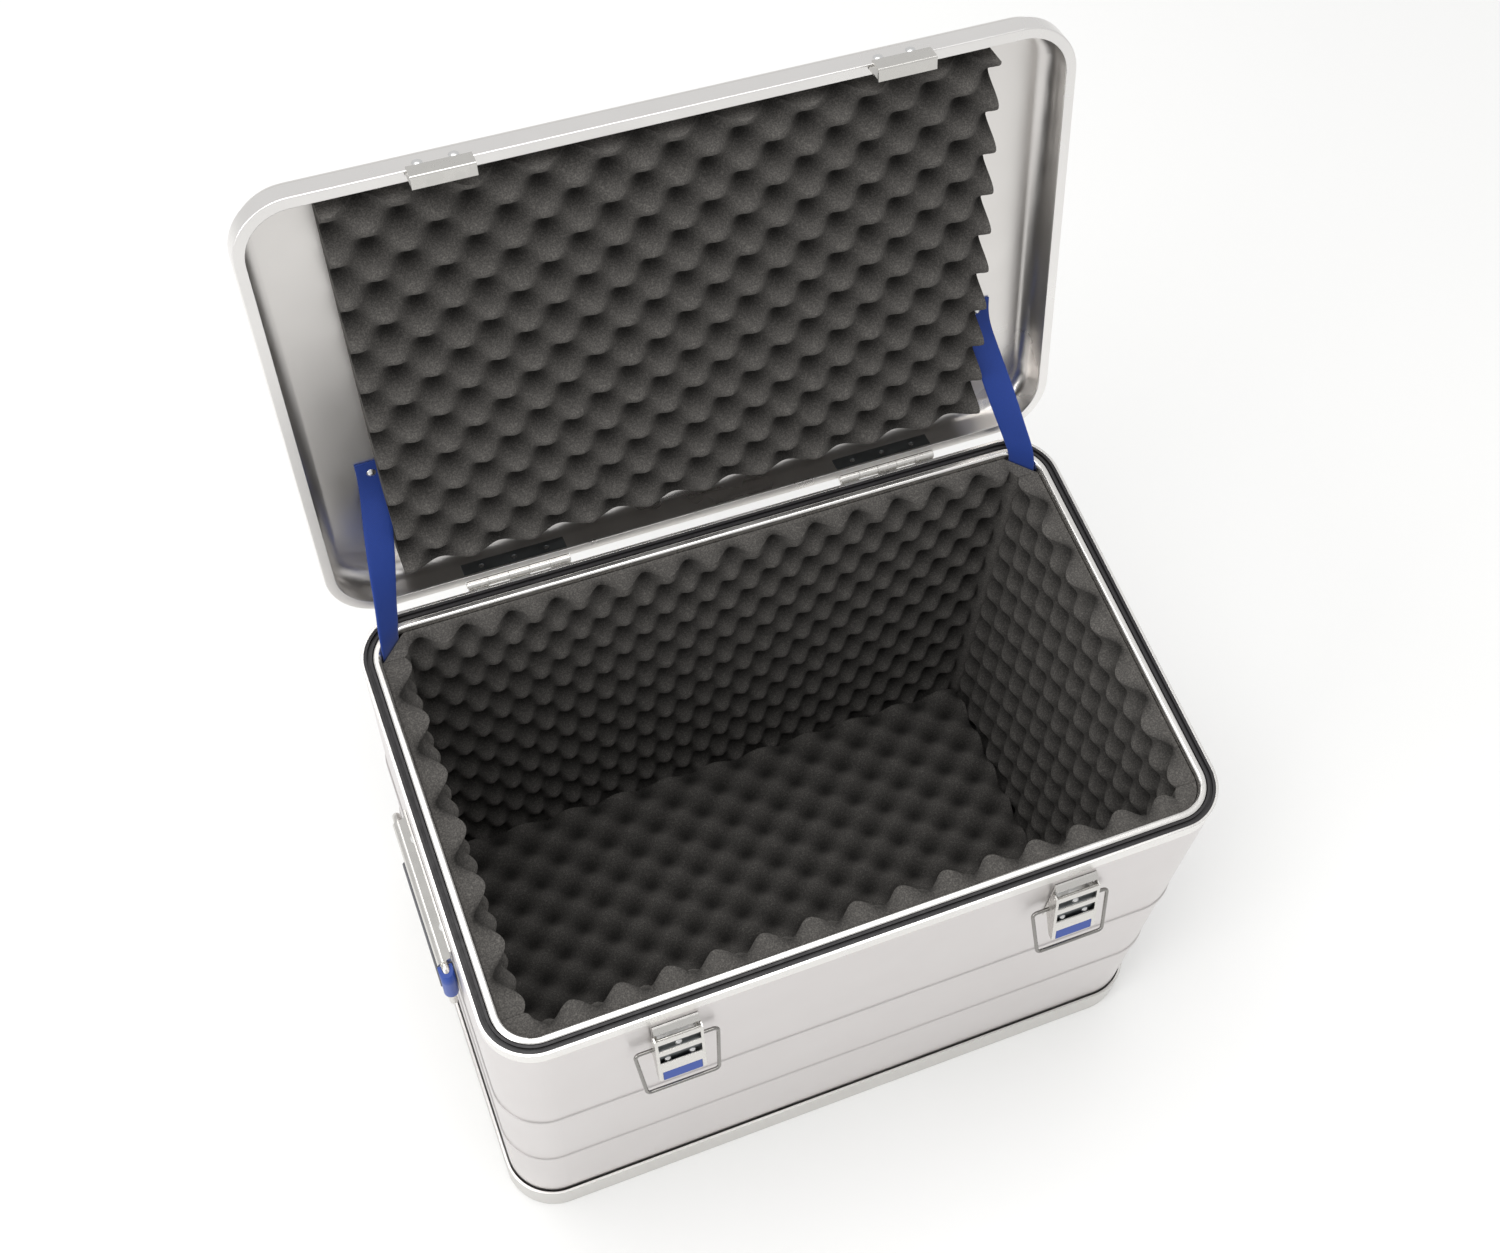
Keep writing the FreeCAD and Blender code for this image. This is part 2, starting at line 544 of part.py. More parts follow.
def catch(name, side):
    """A hook riveted behind the lid frame's band; the latch's bail drops into it from above."""
    body = new_body(f"catch_{name}")
    wall = "-sizes.half_width"
    face, thick = "sizes.catch_face", "sizes.catch_thick"
    low = "sizes.rim_top - sizes.catch_deep"
    outer = f"{wall} - sizes.catch_out"
    tip = f"{low} - {thick} + sizes.catch_lip"
    sketch = new_sketch(body, "YZ_Plane", f"{side} * sizes.catch_x")
    polygon(sketch, [
        (f"{wall} - {face}", f"{low} - {thick}"), (f"{wall} - {face}", "sizes.rim_top + sizes.catch_rise"),
        (f"{wall} - {face} - {thick}", "sizes.rim_top + sizes.catch_rise"), (f"{wall} - {face} - {thick}", low),
        (f"{outer} + {thick}", low), (f"{outer} + {thick}", tip), (outer, tip), (outer, f"{low} - {thick}"),
    ])
    pad(body, sketch, "2 * sizes.catch_half", both_ways=True)
    soften(body, "1.2", lambda edge: edge.BoundBox.XLength > 10 and edge.BoundBox.ZMax < number(low) - 1
           and edge.BoundBox.YMax < number(outer) + 0.1)
    drill(body, "XZ_Plane", shifted(CATCH_HOLES, f"{side} * sizes.catch_x"), "sizes.rivet", "6",
          "sizes.half_width + 3")
    return keep(on_lid(body), f"catch_{name}")


def catch_rivets():
    places = [side * size("catch_x") + across for side in SIDES.values() for across in (-12, 12)]
    face = -size("half_width") - size("lid_proud")
    rivets = [((x, face, size("rim_top") + 7), (0, -1, 0), 2.8) for x in places]
    rivet_set("catch_rivets", rivets, lid_placement())


def out(distance):
    """The Y of a point that stands this far out from the front wall."""
    return f"(-sizes.half_width - ({distance}))"


def down(distance):
    """The Z of a point this far below the top of the latch."""
    return f"(sizes.rim_top - sizes.latch_drop - ({distance}))"


AXLE = (out("sizes.axle_out"), down("sizes.axle_drop"))
BAIL_PIVOT = (out("sizes.bail_out"), down("sizes.bail_drop"))


def latch_plate(name, side):
    """Back plate with a hood over the lever's head and two ears that hold the axle."""
    body = new_body(f"latch_{name}_plate")
    middle = f"{side} * sizes.catch_x"
    sketch = new_sketch(body, "YZ_Plane", middle)
    polygon(sketch, [
        (out("0"), "sizes.latch_bottom"), (out("sizes.latch_plate"), "sizes.latch_bottom"),
        (out("sizes.latch_plate"), down("17.5")), (out("4.2"), down("19.6")), (out("5.2"), down("18.6")),
        (out("1.5"), down("14.6")), (out("0"), down("14")),
    ])
    pad(body, sketch, "2 * sizes.latch_half", both_ways=True)
    for edge in (-1, 1):
        sketch = new_sketch(body, "YZ_Plane", f"{middle} + ({edge}) * (sizes.latch_half - 1.8)")
        polygon(sketch, [
            (out("1"), down("30")), (out("4.7"), down("27.6")), (out("5.3"), down("26.1")), (out("6.5"), down("25.3")),
            (out("7.8"), down("25.8")), (out("8.3"), down("27")), (out("7.8"), down("28.2")),
            (out("6.6"), down("29.4")), (out("1"), down("34.5")),
        ])
        pad(body, sketch, "1.4", both_ways=True)
    drill(body, "YZ_Plane", [AXLE], "sizes.axle", "2 * sizes.lever_half", middle)
    drill(body, "XZ_Plane", shifted(LATCH_HOLES, middle), "sizes.rivet", "8", "sizes.half_width")
    keep(body, f"latch_{name}_plate")
    axle = doc.addObject("Part::Cylinder", f"latch_{name}_axle")
    axle.setExpression("Radius", "sizes.axle")
    axle.setExpression("Height", "2 * sizes.lever_half + 1")
    start = FreeCAD.Vector(side * size("catch_x") - size("lever_half") - 0.5, number(AXLE[0]), number(AXLE[1]))
    axle.Placement = FreeCAD.Placement(start, FreeCAD.Rotation(FreeCAD.Vector(0, 1, 0), 90))
    keep(axle, f"latch_{name}_axle")


def latch_lever(name, side):
    """Wedge of folded sheet: a sloping face with two windows, two cheeks and a seat for the plastic grip."""
    body = new_body(f"latch_{name}_lever")
    middle = f"{side} * sizes.catch_x"
    face, back = [("8.9", "22.9"), ("21.4", "76")], [("20.3", "76.2"), ("7.8", "23.1")]
    sketch = new_sketch(body, "YZ_Plane", middle)
    polygon(sketch, [(out(p), down(d)) for p, d in face + back])
    pad(body, sketch, "2 * sizes.lever_half", both_ways=True)
    for edge in (-1, 1):
        sketch = new_sketch(body, "YZ_Plane", f"{middle} + ({edge}) * (sizes.lever_half - sizes.lever_sheet / 2)")
        cheek = face + [("16", "76"), ("9.5", "66"), ("2.5", "55"), ("2.3", "31"), ("3.2", "24"), ("5", "22.5")]
        polygon(sketch, [(out(p), down(d)) for p, d in cheek])
        pad(body, sketch, "sizes.lever_sheet", both_ways=True)
    for high, low in (("28.5", "38.0"), ("43.5", "54.5")):
        sketch = new_sketch(body, "XZ_Plane", "sizes.half_width")
        rectangle(sketch, f"{middle} - sizes.lever_half + 2.4", down(low), f"{middle} + sizes.lever_half - 2.4", down(high))
        pocket(body, sketch, "24", backwards=True)
    sketch = new_sketch(body, "XZ_Plane", "sizes.half_width")
    rectangle(sketch, f"{middle} - 15.2", down("78"), f"{middle} + 15.2", down("65.5"))
    pocket(body, sketch, "24", backwards=True)
    reach = "2 * sizes.lever_half + 4"
    drill(body, "YZ_Plane", [AXLE], "sizes.axle + sizes.axle_gap", reach, middle)
    drill(body, "YZ_Plane", [BAIL_PIVOT], "sizes.bail_wire + sizes.axle_gap", reach, middle)
    keep(body, f"latch_{name}_lever")
    grip = new_body(f"latch_{name}_grip")
    sketch = new_sketch(grip, "YZ_Plane", middle)
    tab = [("18.9", "65.7"), ("21.6", "75.6"), ("20.8", "76.4"), ("16.6", "76.4"), ("14.6", "65.7")]
    polygon(sketch, [(out(p), down(d)) for p, d in tab])
    pad(grip, sketch, "30", both_ways=True)
    soften(grip, "0.8", lambda edge: edge.BoundBox.XLength > 10 and edge.BoundBox.ZMax > number(down("66"))
           and edge.BoundBox.YMin < number(out("18")))
    keep(grip, f"latch_{name}_grip")


STUDS = [("0", "37.5"), ("-9.5", "55"), ("9.5", "55")]


def latch_web(name, side):
    """The lever's inner plate, a little behind its face, with three studs."""
    body = new_body(f"latch_{name}_web")
    middle = f"{side} * sizes.catch_x"
    slope = "(12.5 / 53.1)"

    def behind(deep, drop):
        return out(f"8.9 + ({drop} - 22.9) * {slope} - sizes.web_behind - ({deep})")

    sketch = new_sketch(body, "YZ_Plane", middle)
    polygon(sketch, [(behind("0", d), down(d)) for d in ("31", "64.5")]
            + [(behind("1", d), down(d)) for d in ("64.5", "31")])
    pad(body, sketch, "2 * (sizes.lever_half - sizes.lever_sheet - 0.1)", both_ways=True)
    for across, drop in STUDS:
        sketch = new_sketch(body, "XZ_Plane", "sizes.half_width")
        circle(sketch, f"{middle} + ({across})", down(drop), "sizes.stud")
        pocket(body, sketch, "24", backwards=True)
    keep(body, f"latch_{name}_web")
    tilt = math.atan(number(slope))
    places = [((side * size("catch_x") + float(across), number(behind("0", drop)), number(down(drop))),
               (0, -math.cos(tilt), math.sin(tilt)), 1.0) for across, drop in STUDS]
    rivet_set(f"latch_{name}_studs", places, head=size("stud") + 1.0, radius=size("stud") - 0.25)


def wire_body(points, radius, bend):
    """A round wire along straight runs joined by tangent arcs of one radius."""
    edges, start = [], points[0]
    for before, corner, after in zip(points, points[1:], points[2:]):
        arrive, leave = (corner - before).normalize(), (after - corner).normalize()
        turn = math.acos(max(-1.0, min(1.0, arrive.dot(leave))))
        cut = bend * math.tan(turn / 2)
        first, last = corner - arrive * cut, corner + leave * cut
        mid_way = (leave - arrive).normalize()
        middle = corner + mid_way * (bend / math.cos(turn / 2) - bend)
        edges += [Part.LineSegment(start, first).toShape(), Part.Arc(first, middle, last).toShape()]
        start = last
    edges.append(Part.LineSegment(start, points[-1]).toShape())
    end = Part.Wire([Part.Circle(points[0], points[1] - points[0], radius).toShape()])
    return Part.Wire(edges).makePipeShell([end], True, True)


def latch_bail(name, side):
    """A sprung wire loop, hooked through the lever's cheeks; at rest it lies on the lever's grip."""
    reach, rest = size("bail_reach"), size("bail_rest_out") - size("bail_out")
    fall = math.sqrt(reach * reach - rest * rest)
    middle = side * size("catch_x")
    pivot = FreeCAD.Vector(middle, number(BAIL_PIVOT[0]), number(BAIL_PIVOT[1]))
    bar = pivot + FreeCAD.Vector(0, -rest, -fall)
    inner, wide, narrow = size("lever_half") - 2.6, size("bail_top_half"), size("bail_end_half")
    across = FreeCAD.Vector(1, 0, 0)
    points = [pivot - across * inner, pivot - across * wide, bar - across * narrow,
              bar + across * narrow, pivot + across * wide, pivot + across * inner]
    bail = doc.addObject("Part::Feature", f"latch_{name}_bail")
    bail.Shape = wire_body(points, size("bail_wire"), 3.6)
    keep(bail, f"latch_{name}_bail")


def latch_rivets():
    face = -size("half_width") - size("latch_plate")
    low = size("latch_bottom")
    rivets = [((side * size("catch_x") + across, face, low + up), (0, -1, 0), 3.5)
              for side in SIDES.values() for across, up in ((-10, 5), (10, 5), (0, 18))]
    rivet_set("latch_rivets", rivets)


# ---------------------------------------------------------------- drop handles


def handle_bracket(name, side):
    """Riveted plate whose lower edge is rolled into a long barrel for the handle's rod."""
    body = new_body(f"handle_{name}_bracket")
    wall = f"{side} * sizes.half_length"
    barrel = f"{wall} + {side} * sizes.handle_out"
    sketch = new_sketch(body, "XZ_Plane")
    rectangle(sketch, wall, "sizes.handle_z", f"{wall} + {side} * 1.5", "sizes.bracket_high")
    pad(body, sketch, "2 * sizes.hood_half", both_ways=True)
    sketch = new_sketch(body, "XZ_Plane")
    polygon(sketch, [
        (wall, "sizes.handle_z + 1"), (barrel, "sizes.handle_z + sizes.rod + 0.3"),
        (barrel, "sizes.handle_z + sizes.hood"), (f"{wall} + {side} * 1.5", "sizes.handle_z + 9.5"),
        (wall, "sizes.handle_z + 9.5"),
    ])
    pad(body, sketch, "2 * sizes.hood_half", both_ways=True)
    sketch = new_sketch(body, "XZ_Plane")
    circle(sketch, barrel, "sizes.handle_z", "sizes.hood")
    pad(body, sketch, "2 * sizes.hood_half", both_ways=True)
    drill(body, "XZ_Plane", [(barrel, "sizes.handle_z")], "sizes.rod + sizes.rod_gap", "2 * sizes.hood_half + 4")
    drill(body, "YZ_Plane", HANDLE_HOLES, "sizes.rivet", "10", wall)
    keep(body, f"handle_{name}_bracket")


def handle(name, side):
    """A closed rod loop that hangs from the bracket, with corner sleeves and a moulded grip."""
    x = side * (size("half_length") + size("handle_out"))
    top, drop, half, bend = size("handle_z"), size("handle_drop"), size("handle_half"), size("handle_round")
    rod, sleeve = size("rod"), size("sleeve")

    def at(y, z):
        return FreeCAD.Vector(x, y, z)

    corners = [at(0, top), at(half, top), at(half, top - drop), at(-half, top - drop), at(-half, top), at(-0.01, top)]
    loop = doc.addObject("Part::Feature", f"handle_{name}_rod")
    loop.Shape = wire_body(corners, rod, bend)
    keep(loop, f"handle_{name}_rod")
    hood = size("hood_half")
    turn = [at(-hood - 1, top), at(-half, top), at(-half, top - 34)]
    outer = wire_body(turn, sleeve, bend)
    inner = wire_body([at(-hood + 3, top), turn[1], at(-half, top - 38)], rod, bend)
    opening = Part.makeBox(4 * sleeve, 40, 20, at(-half - 12, top + 1) - FreeCAD.Vector(2 * sleeve, 0, 0))
    sleeves = doc.addObject("Part::Feature", f"handle_{name}_sleeves")
    sleeves.Shape = Part.makeCompound(outer.cut(opening).cut(inner).Solids)
    keep(sleeves, f"handle_{name}_sleeves")
    grip = new_body(f"handle_{name}_grip")
    sketch = new_sketch(grip, "XZ_Plane")
    low = "sizes.handle_z - sizes.handle_drop"
    centre = f"{side} * (sizes.half_length + sizes.handle_out)"
    rectangle(sketch, f"{centre} - sizes.grip_thick", f"{low} - sizes.grip_tall", f"{centre} + sizes.grip_thick",
              f"{low} + sizes.grip_tall")
    pad(grip, sketch, "2 * sizes.grip_half", both_ways=True)
    soften(grip, "4.5", lambda edge: edge.BoundBox.YLength > 50)
    drill(grip, "XZ_Plane", [(centre, low)], "sizes.rod", "2 * sizes.grip_half + 4")
    keep(grip, f"handle_{name}_grip")


def handle_rivets():
    high = size("bracket_high") - 7
    rivets = [((side * (size("half_length") + 1.5), y, high), (side, 0, 0), 3.5)
              for side in SIDES.values() for y in (-38, 38)]
    rivet_set("handle_rivets", rivets)


# ---------------------------------------------------------------- lid straps


def ribbon_end(centre, width, thickness):
    """A strap's cross-section: centre, and half-extents as vectors."""
    corners = [centre - width - thickness, centre + width - thickness, centre + width + thickness,
               centre - width + thickness]
    return Part.makePolygon(corners + corners[:1])


def strap(name, side):
    """Webbing from the lid's panel over the rim's inner corner, holding the lid at its open angle."""
    half, thick = size("strap_half"), size("strap_thick") / 2
    place = lid_placement()
    under = number("sizes.lid_top - sizes.lid_sheet - 0.2") - thick
    across = FreeCAD.Vector(half, 0, 0)
    lid_normal = place.Rotation.multVec(FreeCAD.Vector(0, 0, thick))
    diagonal = FreeCAD.Vector(half, -side * half, 0) * math.sqrt(0.5)
    outward = FreeCAD.Vector(side * thick, thick, 0) * math.sqrt(0.5)
    corner = FreeCAD.Vector(side * (size("half_length") - size("corner")), size("half_width") - size("corner"), 0)
    bend = size("corner") - size("rim_width") - 3.7
    foot = corner + FreeCAD.Vector(side, 1, 0) * (bend * math.sqrt(0.5))
    stations = [
        (place.multVec(FreeCAD.Vector(side * size("strap_x"), size("strap_y") - 9, under)), across, lid_normal),
        (place.multVec(FreeCAD.Vector(side * size("strap_x"), size("strap_y") + 9, under)), across, lid_normal),
        (foot + FreeCAD.Vector(0, 0, size("rim_top") + 2), diagonal, outward),
        (foot + FreeCAD.Vector(0, 0, size("rim_top") - 24), diagonal, outward),
    ]
    sections = [ribbon_end(centre, width, deep) for centre, width, deep in stations]
    web = doc.addObject("Part::Feature", f"strap_{name}")
    web.Shape = Part.makeLoft(sections, True, True)
    keep(web, f"strap_{name}")
    return foot


def strap_rivets():
    lid_face = number("sizes.lid_top - sizes.lid_sheet - 0.3 - sizes.strap_thick")
    lid_rivets = [((side * size("strap_x"), size("strap_y"), lid_face), (0, 0, -1), 0.05) for side in SIDES.values()]
    rivet_set("strap_lid_rivets", lid_rivets, lid_placement())


# ---------------------------------------------------------------- assembly


def build():
    body_shell()
    base_frame()
    base_plate()
    rim_frame()
    rim_seal()
    foam_lining()
    lid_frame()
    lid_panel()
    lid_foam()
    for name, side in SIDES.items():
        hinge(name, side)
        catch(name, side)
        latch_plate(name, side)
        latch_lever(name, side)
        latch_web(name, side)
        latch_bail(name, side)
        handle_bracket(name, side)
        handle(name, side)
        strap(name, side)
    hinge_rivets()
    catch_rivets()
    latch_rivets()
    handle_rivets()
    strap_rivets()


def write():
    """Checks every object, then writes one STEP file for each sub-part."""
    doc.recompute()
    for item in doc.Objects:
        if "Invalid" in item.State or "Error" in item.State:
            raise RuntimeError(f"{item.Name} failed: {item.State}")
    os.makedirs("parts", exist_ok=True)
    for item in parts:
        if item.Shape.isNull() or not item.Shape.isValid():
            raise RuntimeError(f"{item.Label} has no valid shape")
        item.Shape.exportStep(f"parts/{item.Label}.step")
        print(f"{item.Label}: {len(item.Shape.Solids)} solid(s), {item.Shape.Volume / 1000:.2f} cm3")


build()
write()
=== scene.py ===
"""Visual model of an aluminium transport case: foam lining, straps, finishes, light and camera.

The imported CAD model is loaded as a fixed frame. Its metal parts keep their shapes and get finishes; the soft parts
are rebuilt here as what they are. Everything is in metres, in the model's own frame: X along the case, -Y to the
latches, +Z up.
"""
import json
import logging
import math
from dataclasses import dataclass, field
from typing import Any, Callable, Sequence

import bmesh
import bpy
import numpy as np
from mathutils import Matrix, Vector


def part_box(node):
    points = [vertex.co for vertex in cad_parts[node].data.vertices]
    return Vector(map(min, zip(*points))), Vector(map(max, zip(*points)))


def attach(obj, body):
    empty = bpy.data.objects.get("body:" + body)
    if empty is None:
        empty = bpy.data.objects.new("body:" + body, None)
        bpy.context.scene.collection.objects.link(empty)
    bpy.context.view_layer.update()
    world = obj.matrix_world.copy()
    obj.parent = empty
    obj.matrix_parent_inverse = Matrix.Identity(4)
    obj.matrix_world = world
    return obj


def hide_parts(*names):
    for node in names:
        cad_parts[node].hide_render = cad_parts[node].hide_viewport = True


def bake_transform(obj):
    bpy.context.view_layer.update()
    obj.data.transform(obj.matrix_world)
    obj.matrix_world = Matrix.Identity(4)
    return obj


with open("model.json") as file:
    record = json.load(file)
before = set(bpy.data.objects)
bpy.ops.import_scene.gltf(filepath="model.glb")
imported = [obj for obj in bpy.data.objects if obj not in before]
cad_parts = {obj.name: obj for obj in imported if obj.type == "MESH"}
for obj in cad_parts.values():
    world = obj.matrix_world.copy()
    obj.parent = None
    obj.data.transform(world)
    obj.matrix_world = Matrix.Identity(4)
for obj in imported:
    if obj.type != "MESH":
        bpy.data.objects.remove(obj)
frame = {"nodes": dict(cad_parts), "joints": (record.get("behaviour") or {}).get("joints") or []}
log = logging.getLogger("case")

MM = 0.001
Socket = bpy.types.NodeSocket
Tree = bpy.types.NodeTree


# ---------------------------------------------------------------- nodes and colours


def srgb(code: str) -> tuple[float, float, float, float]:
    """Turns an sRGB hex colour into linear light.

    Args:
        code: six hex digits.

    Returns:
        Linear red, green, blue and an alpha of one.
    """
    parts = [int(code[i:i + 2], 16) / 255 for i in (0, 2, 4)]
    low = [p / 12.92 if p <= 0.04045 else ((p + 0.055) / 1.055) ** 2.4 for p in parts]
    return (low[0], low[1], low[2], 1.0)


def add_node(tree: Tree, kind: str, settings: dict[str, Any] | None = None,
             inputs: dict[str | int, Any] | None = None) -> bpy.types.Node:
    """Adds a node, sets its properties, and fills or links its inputs.

    Args:
        tree: the node tree.
        kind: the node's type name.
        settings: property name to value.
        inputs: input name or index to a value, or to an output socket to link.

    Returns:
        The new node.
    """
    node = tree.nodes.new(kind)
    for key, value in (settings or {}).items():
        setattr(node, key, value)
    for key, value in (inputs or {}).items():
        if isinstance(value, Socket):
            tree.links.new(value, node.inputs[key])
        else:
            node.inputs[key].default_value = value
    return node


def math_node(tree: Tree, operation: str, *values: Any) -> Socket:
    """Adds a math step and returns its result."""
    return add_node(tree, "ShaderNodeMath", {"operation": operation}, dict(enumerate(values))).outputs[0]


def ramp(tree: Tree, factor: Socket, stops: Sequence[tuple[float, str]]) -> Socket:
    """Adds a colour ramp.

    Args:
        tree: the node tree.
        factor: what drives the ramp.
        stops: positions and hex colours, in order.

    Returns:
        The ramp's colour output.
    """
    node = add_node(tree, "ShaderNodeValToRGB", None, {0: factor})
    band = node.color_ramp
    while len(band.elements) < len(stops):
        band.elements.new(0.5)
    for element, (position, code) in zip(band.elements, stops):
        element.position, element.color = position, srgb(code)
    return node.outputs[0]


# ---------------------------------------------------------------- finishes


@dataclass(frozen=True)
class Finish:
    """A named finish that builds its material once."""

    name: str

    def material(self) -> bpy.types.Material:
        """Returns the material, and builds it on the first call."""
        found = bpy.data.materials.get(self.name)
        if found:
            return found
        made = bpy.data.materials.new(self.name)
        made.use_nodes = True
        made.node_tree.nodes.clear()
        shader = self.shade(made.node_tree)
        add_node(made.node_tree, "ShaderNodeOutputMaterial", None, {"Surface": shader})
        return made

    def shade(self, tree: Tree) -> Socket:
        """Builds the shader; each finish has its own."""
        raise NotImplementedError

    def position(self, tree: Tree, scale: Sequence[float] = (1, 1, 1)) -> Socket:
        """Returns object coordinates stretched by a scale along each axis."""
        here = add_node(tree, "ShaderNodeTexCoord").outputs["Object"]
        return add_node(tree, "ShaderNodeMapping", None, {"Vector": here, "Scale": tuple(scale)}).outputs[0]

    def noise(self, tree: Tree, size_mm: float, detail: float, stretch: Sequence[float] = (1, 1, 1)) -> Socket:
        """Returns a noise pattern whose largest features have a real size."""
        return add_node(tree, "ShaderNodeTexNoise", None, {
            "Vector": self.position(tree, stretch), "Scale": 1 / (size_mm * MM), "Detail": detail}).outputs[0]

    def spread(self, tree: Tree, pattern: Socket, low: float, high: float) -> Socket:
        """Maps the middle of a noise pattern to values between low and high."""
        return add_node(tree, "ShaderNodeMapRange", None, {0: pattern, 1: 0.3, 2: 0.7, 3: low, 4: high}).outputs[0]

    def soft_edges(self, tree: Tree, radius_mm: float, samples: int = 4) -> Socket:
        """Returns normals that turn gently over each edge."""
        return add_node(tree, "ShaderNodeBevel", {"samples": samples}, {"Radius": radius_mm * MM}).outputs[0]

    def bump(self, tree: Tree, height: Socket, strength: float, depth_mm: float,
             over: Socket | None = None) -> Socket:
        """Returns normals bent by a height pattern.

        Args:
            tree: the node tree.
            height: the pattern.
            strength: how much of the relief shows.
            depth_mm: the relief's depth.
            over: normals that it is laid over.

        Returns:
            The bent normals.
        """
        inputs: dict[str | int, Any] = {"Height": height, "Strength": strength, "Distance": depth_mm * MM}
        if over:
            inputs["Normal"] = over
        return add_node(tree, "ShaderNodeBump", None, inputs).outputs[0]

    def metal(self, tree: Tree, colour: str, rough: Socket, normal: Socket) -> Socket:
        """Returns a metal shader with the default IOR."""
        return add_node(tree, "ShaderNodeBsdfPrincipled", None, {
            "Base Color": srgb(colour), "Metallic": 1.0, "Roughness": rough, "Normal": normal}).outputs[0]


@dataclass(frozen=True)
class RolledSheet(Finish):
    """Mill-bright aluminium sheet, cold rolled: a satin mirror with a faint grain along the rolling direction."""

    colour: str = "dedcda"
    roughness: float = 0.3
    grain_mm: float = 0.5
    smudge_mm: float = 90.0
    press_mm: float = 3.0

    def shade(self, tree: Tree) -> Socket:
        """Builds satin metal with rolling grain, soft clouding and pressed edges that turn gently."""
        grain = self.noise(tree, self.grain_mm, 2.0, (0.012, 0.012, 1.0))
        cloud = self.noise(tree, self.smudge_mm, 3.0)
        rough = self.spread(tree, cloud, self.roughness - 0.04, self.roughness + 0.05)
        relief = self.bump(tree, grain, 0.03, 0.04, self.soft_edges(tree, self.press_mm, 8))
        return self.metal(tree, self.colour, rough, relief)


@dataclass(frozen=True)
class ExtrudedSection(Finish):
    """Extruded aluminium profile: fine die lines along its length and edges that turn softly."""

    colour: str = "d2d0cd"
    roughness: float = 0.34
    edge_mm: float = 0.5
    line_mm: float = 0.4
    smudge_mm: float = 60.0

    def shade(self, tree: Tree) -> Socket:
        """Builds satin metal with soft edges and die lines."""
        lines = self.noise(tree, self.line_mm, 2.0, (0.01, 0.01, 1.0))
        cloud = self.noise(tree, self.smudge_mm, 3.0)
        rough = self.spread(tree, cloud, self.roughness - 0.05, self.roughness + 0.06)
        relief = self.bump(tree, lines, 0.08, 0.05, self.soft_edges(tree, self.edge_mm))
        return self.metal(tree, self.colour, rough, relief)


@dataclass(frozen=True)
class PlatedSteel(Finish):
    """Bright zinc-plated pressed steel: a clear reflection with slightly clouded patches."""

    colour: str = "cfd0d2"
    roughness: float = 0.2
    edge_mm: float = 0.4
    cloud_mm: float = 7.0

    def shade(self, tree: Tree) -> Socket:
        """Builds bright metal with soft edges and clouding in its roughness."""
        cloud = self.noise(tree, self.cloud_mm, 4.0)
        rough = self.spread(tree, cloud, self.roughness - 0.05, self.roughness + 0.09)
        relief = self.bump(tree, cloud, 0.05, 0.1, self.soft_edges(tree, self.edge_mm))
        return self.metal(tree, self.colour, rough, relief)


@dataclass(frozen=True)
class OpenCellFoam(Finish):
    """Charcoal polyurethane foam cut by rollers: matt, open pores, and painted shade that darkens the valleys."""

    pore_mm: float = 1.1
    light: str = "6f6c68"
    dark: str = "4a4846"
    # painted shade: the share of the foam's colour left at the bottom of each valley
    painted_valley_shade: float = 0.2
    fibre_mm: float = 2.3

    def shade(self, tree: Tree) -> Socket:
        """Builds matt foam; the pores are drawn at twice their real size so that they show."""
        cells = add_node(tree, "ShaderNodeTexVoronoi", {"feature": "F1"}, {
            "Vector": self.position(tree), "Scale": 1 / (self.pore_mm * MM)})
        fibre = add_node(tree, "ShaderNodeTexNoise", None, {
            "Vector": self.position(tree), "Scale": 1 / (self.fibre_mm * MM), "Detail": 5.0, "Roughness": 0.65})
        mottle = math_node(tree, "MULTIPLY", cells.outputs["Distance"], fibre.outputs[0])
        colour = ramp(tree, mottle, [(0.1, self.dark), (0.55, self.light)])
        # Painted shade: the colour is scaled down with how deep each point is cut, to painted_valley_shade at the
        # bottom of a valley, standing in for the shade that falls there.
        sunk = add_node(tree, "ShaderNodeAttribute", {"attribute_name": "sunk"}).outputs["Fac"]
        shade = math_node(tree, "MULTIPLY_ADD", sunk, self.painted_valley_shade - 1.0, 1.0)
        colour = add_node(tree, "ShaderNodeVectorMath", {"operation": "SCALE"}, {
            0: colour, "Scale": shade}).outputs[0]
        relief = self.bump(tree, fibre.outputs[0], 0.5, 0.5)
        relief = self.bump(tree, cells.outputs["Distance"], 0.35, 0.5, relief)
        return add_node(tree, "ShaderNodeBsdfPrincipled", None, {
            "Base Color": colour, "Roughness": 0.95, "Diffuse Roughness": 0.6, "Specular IOR Level": 0.15,
            "Normal": relief}).outputs[0]


@dataclass(frozen=True)
class SealRubber(Finish):
    """Extruded EPDM seal: near-black, a soft sheen along the top of each lip."""

    colour: str = "201e20"
    bloom_mm: float = 6.0

    def shade(self, tree: Tree) -> Socket:
        """Builds dark rubber with a fine bloom."""
        rough = self.spread(tree, self.noise(tree, self.bloom_mm, 3.0), 0.38, 0.55)
        return add_node(tree, "ShaderNodeBsdfPrincipled", None, {
            "Base Color": srgb(self.colour), "Roughness": rough, "IOR": 1.5}).outputs[0]


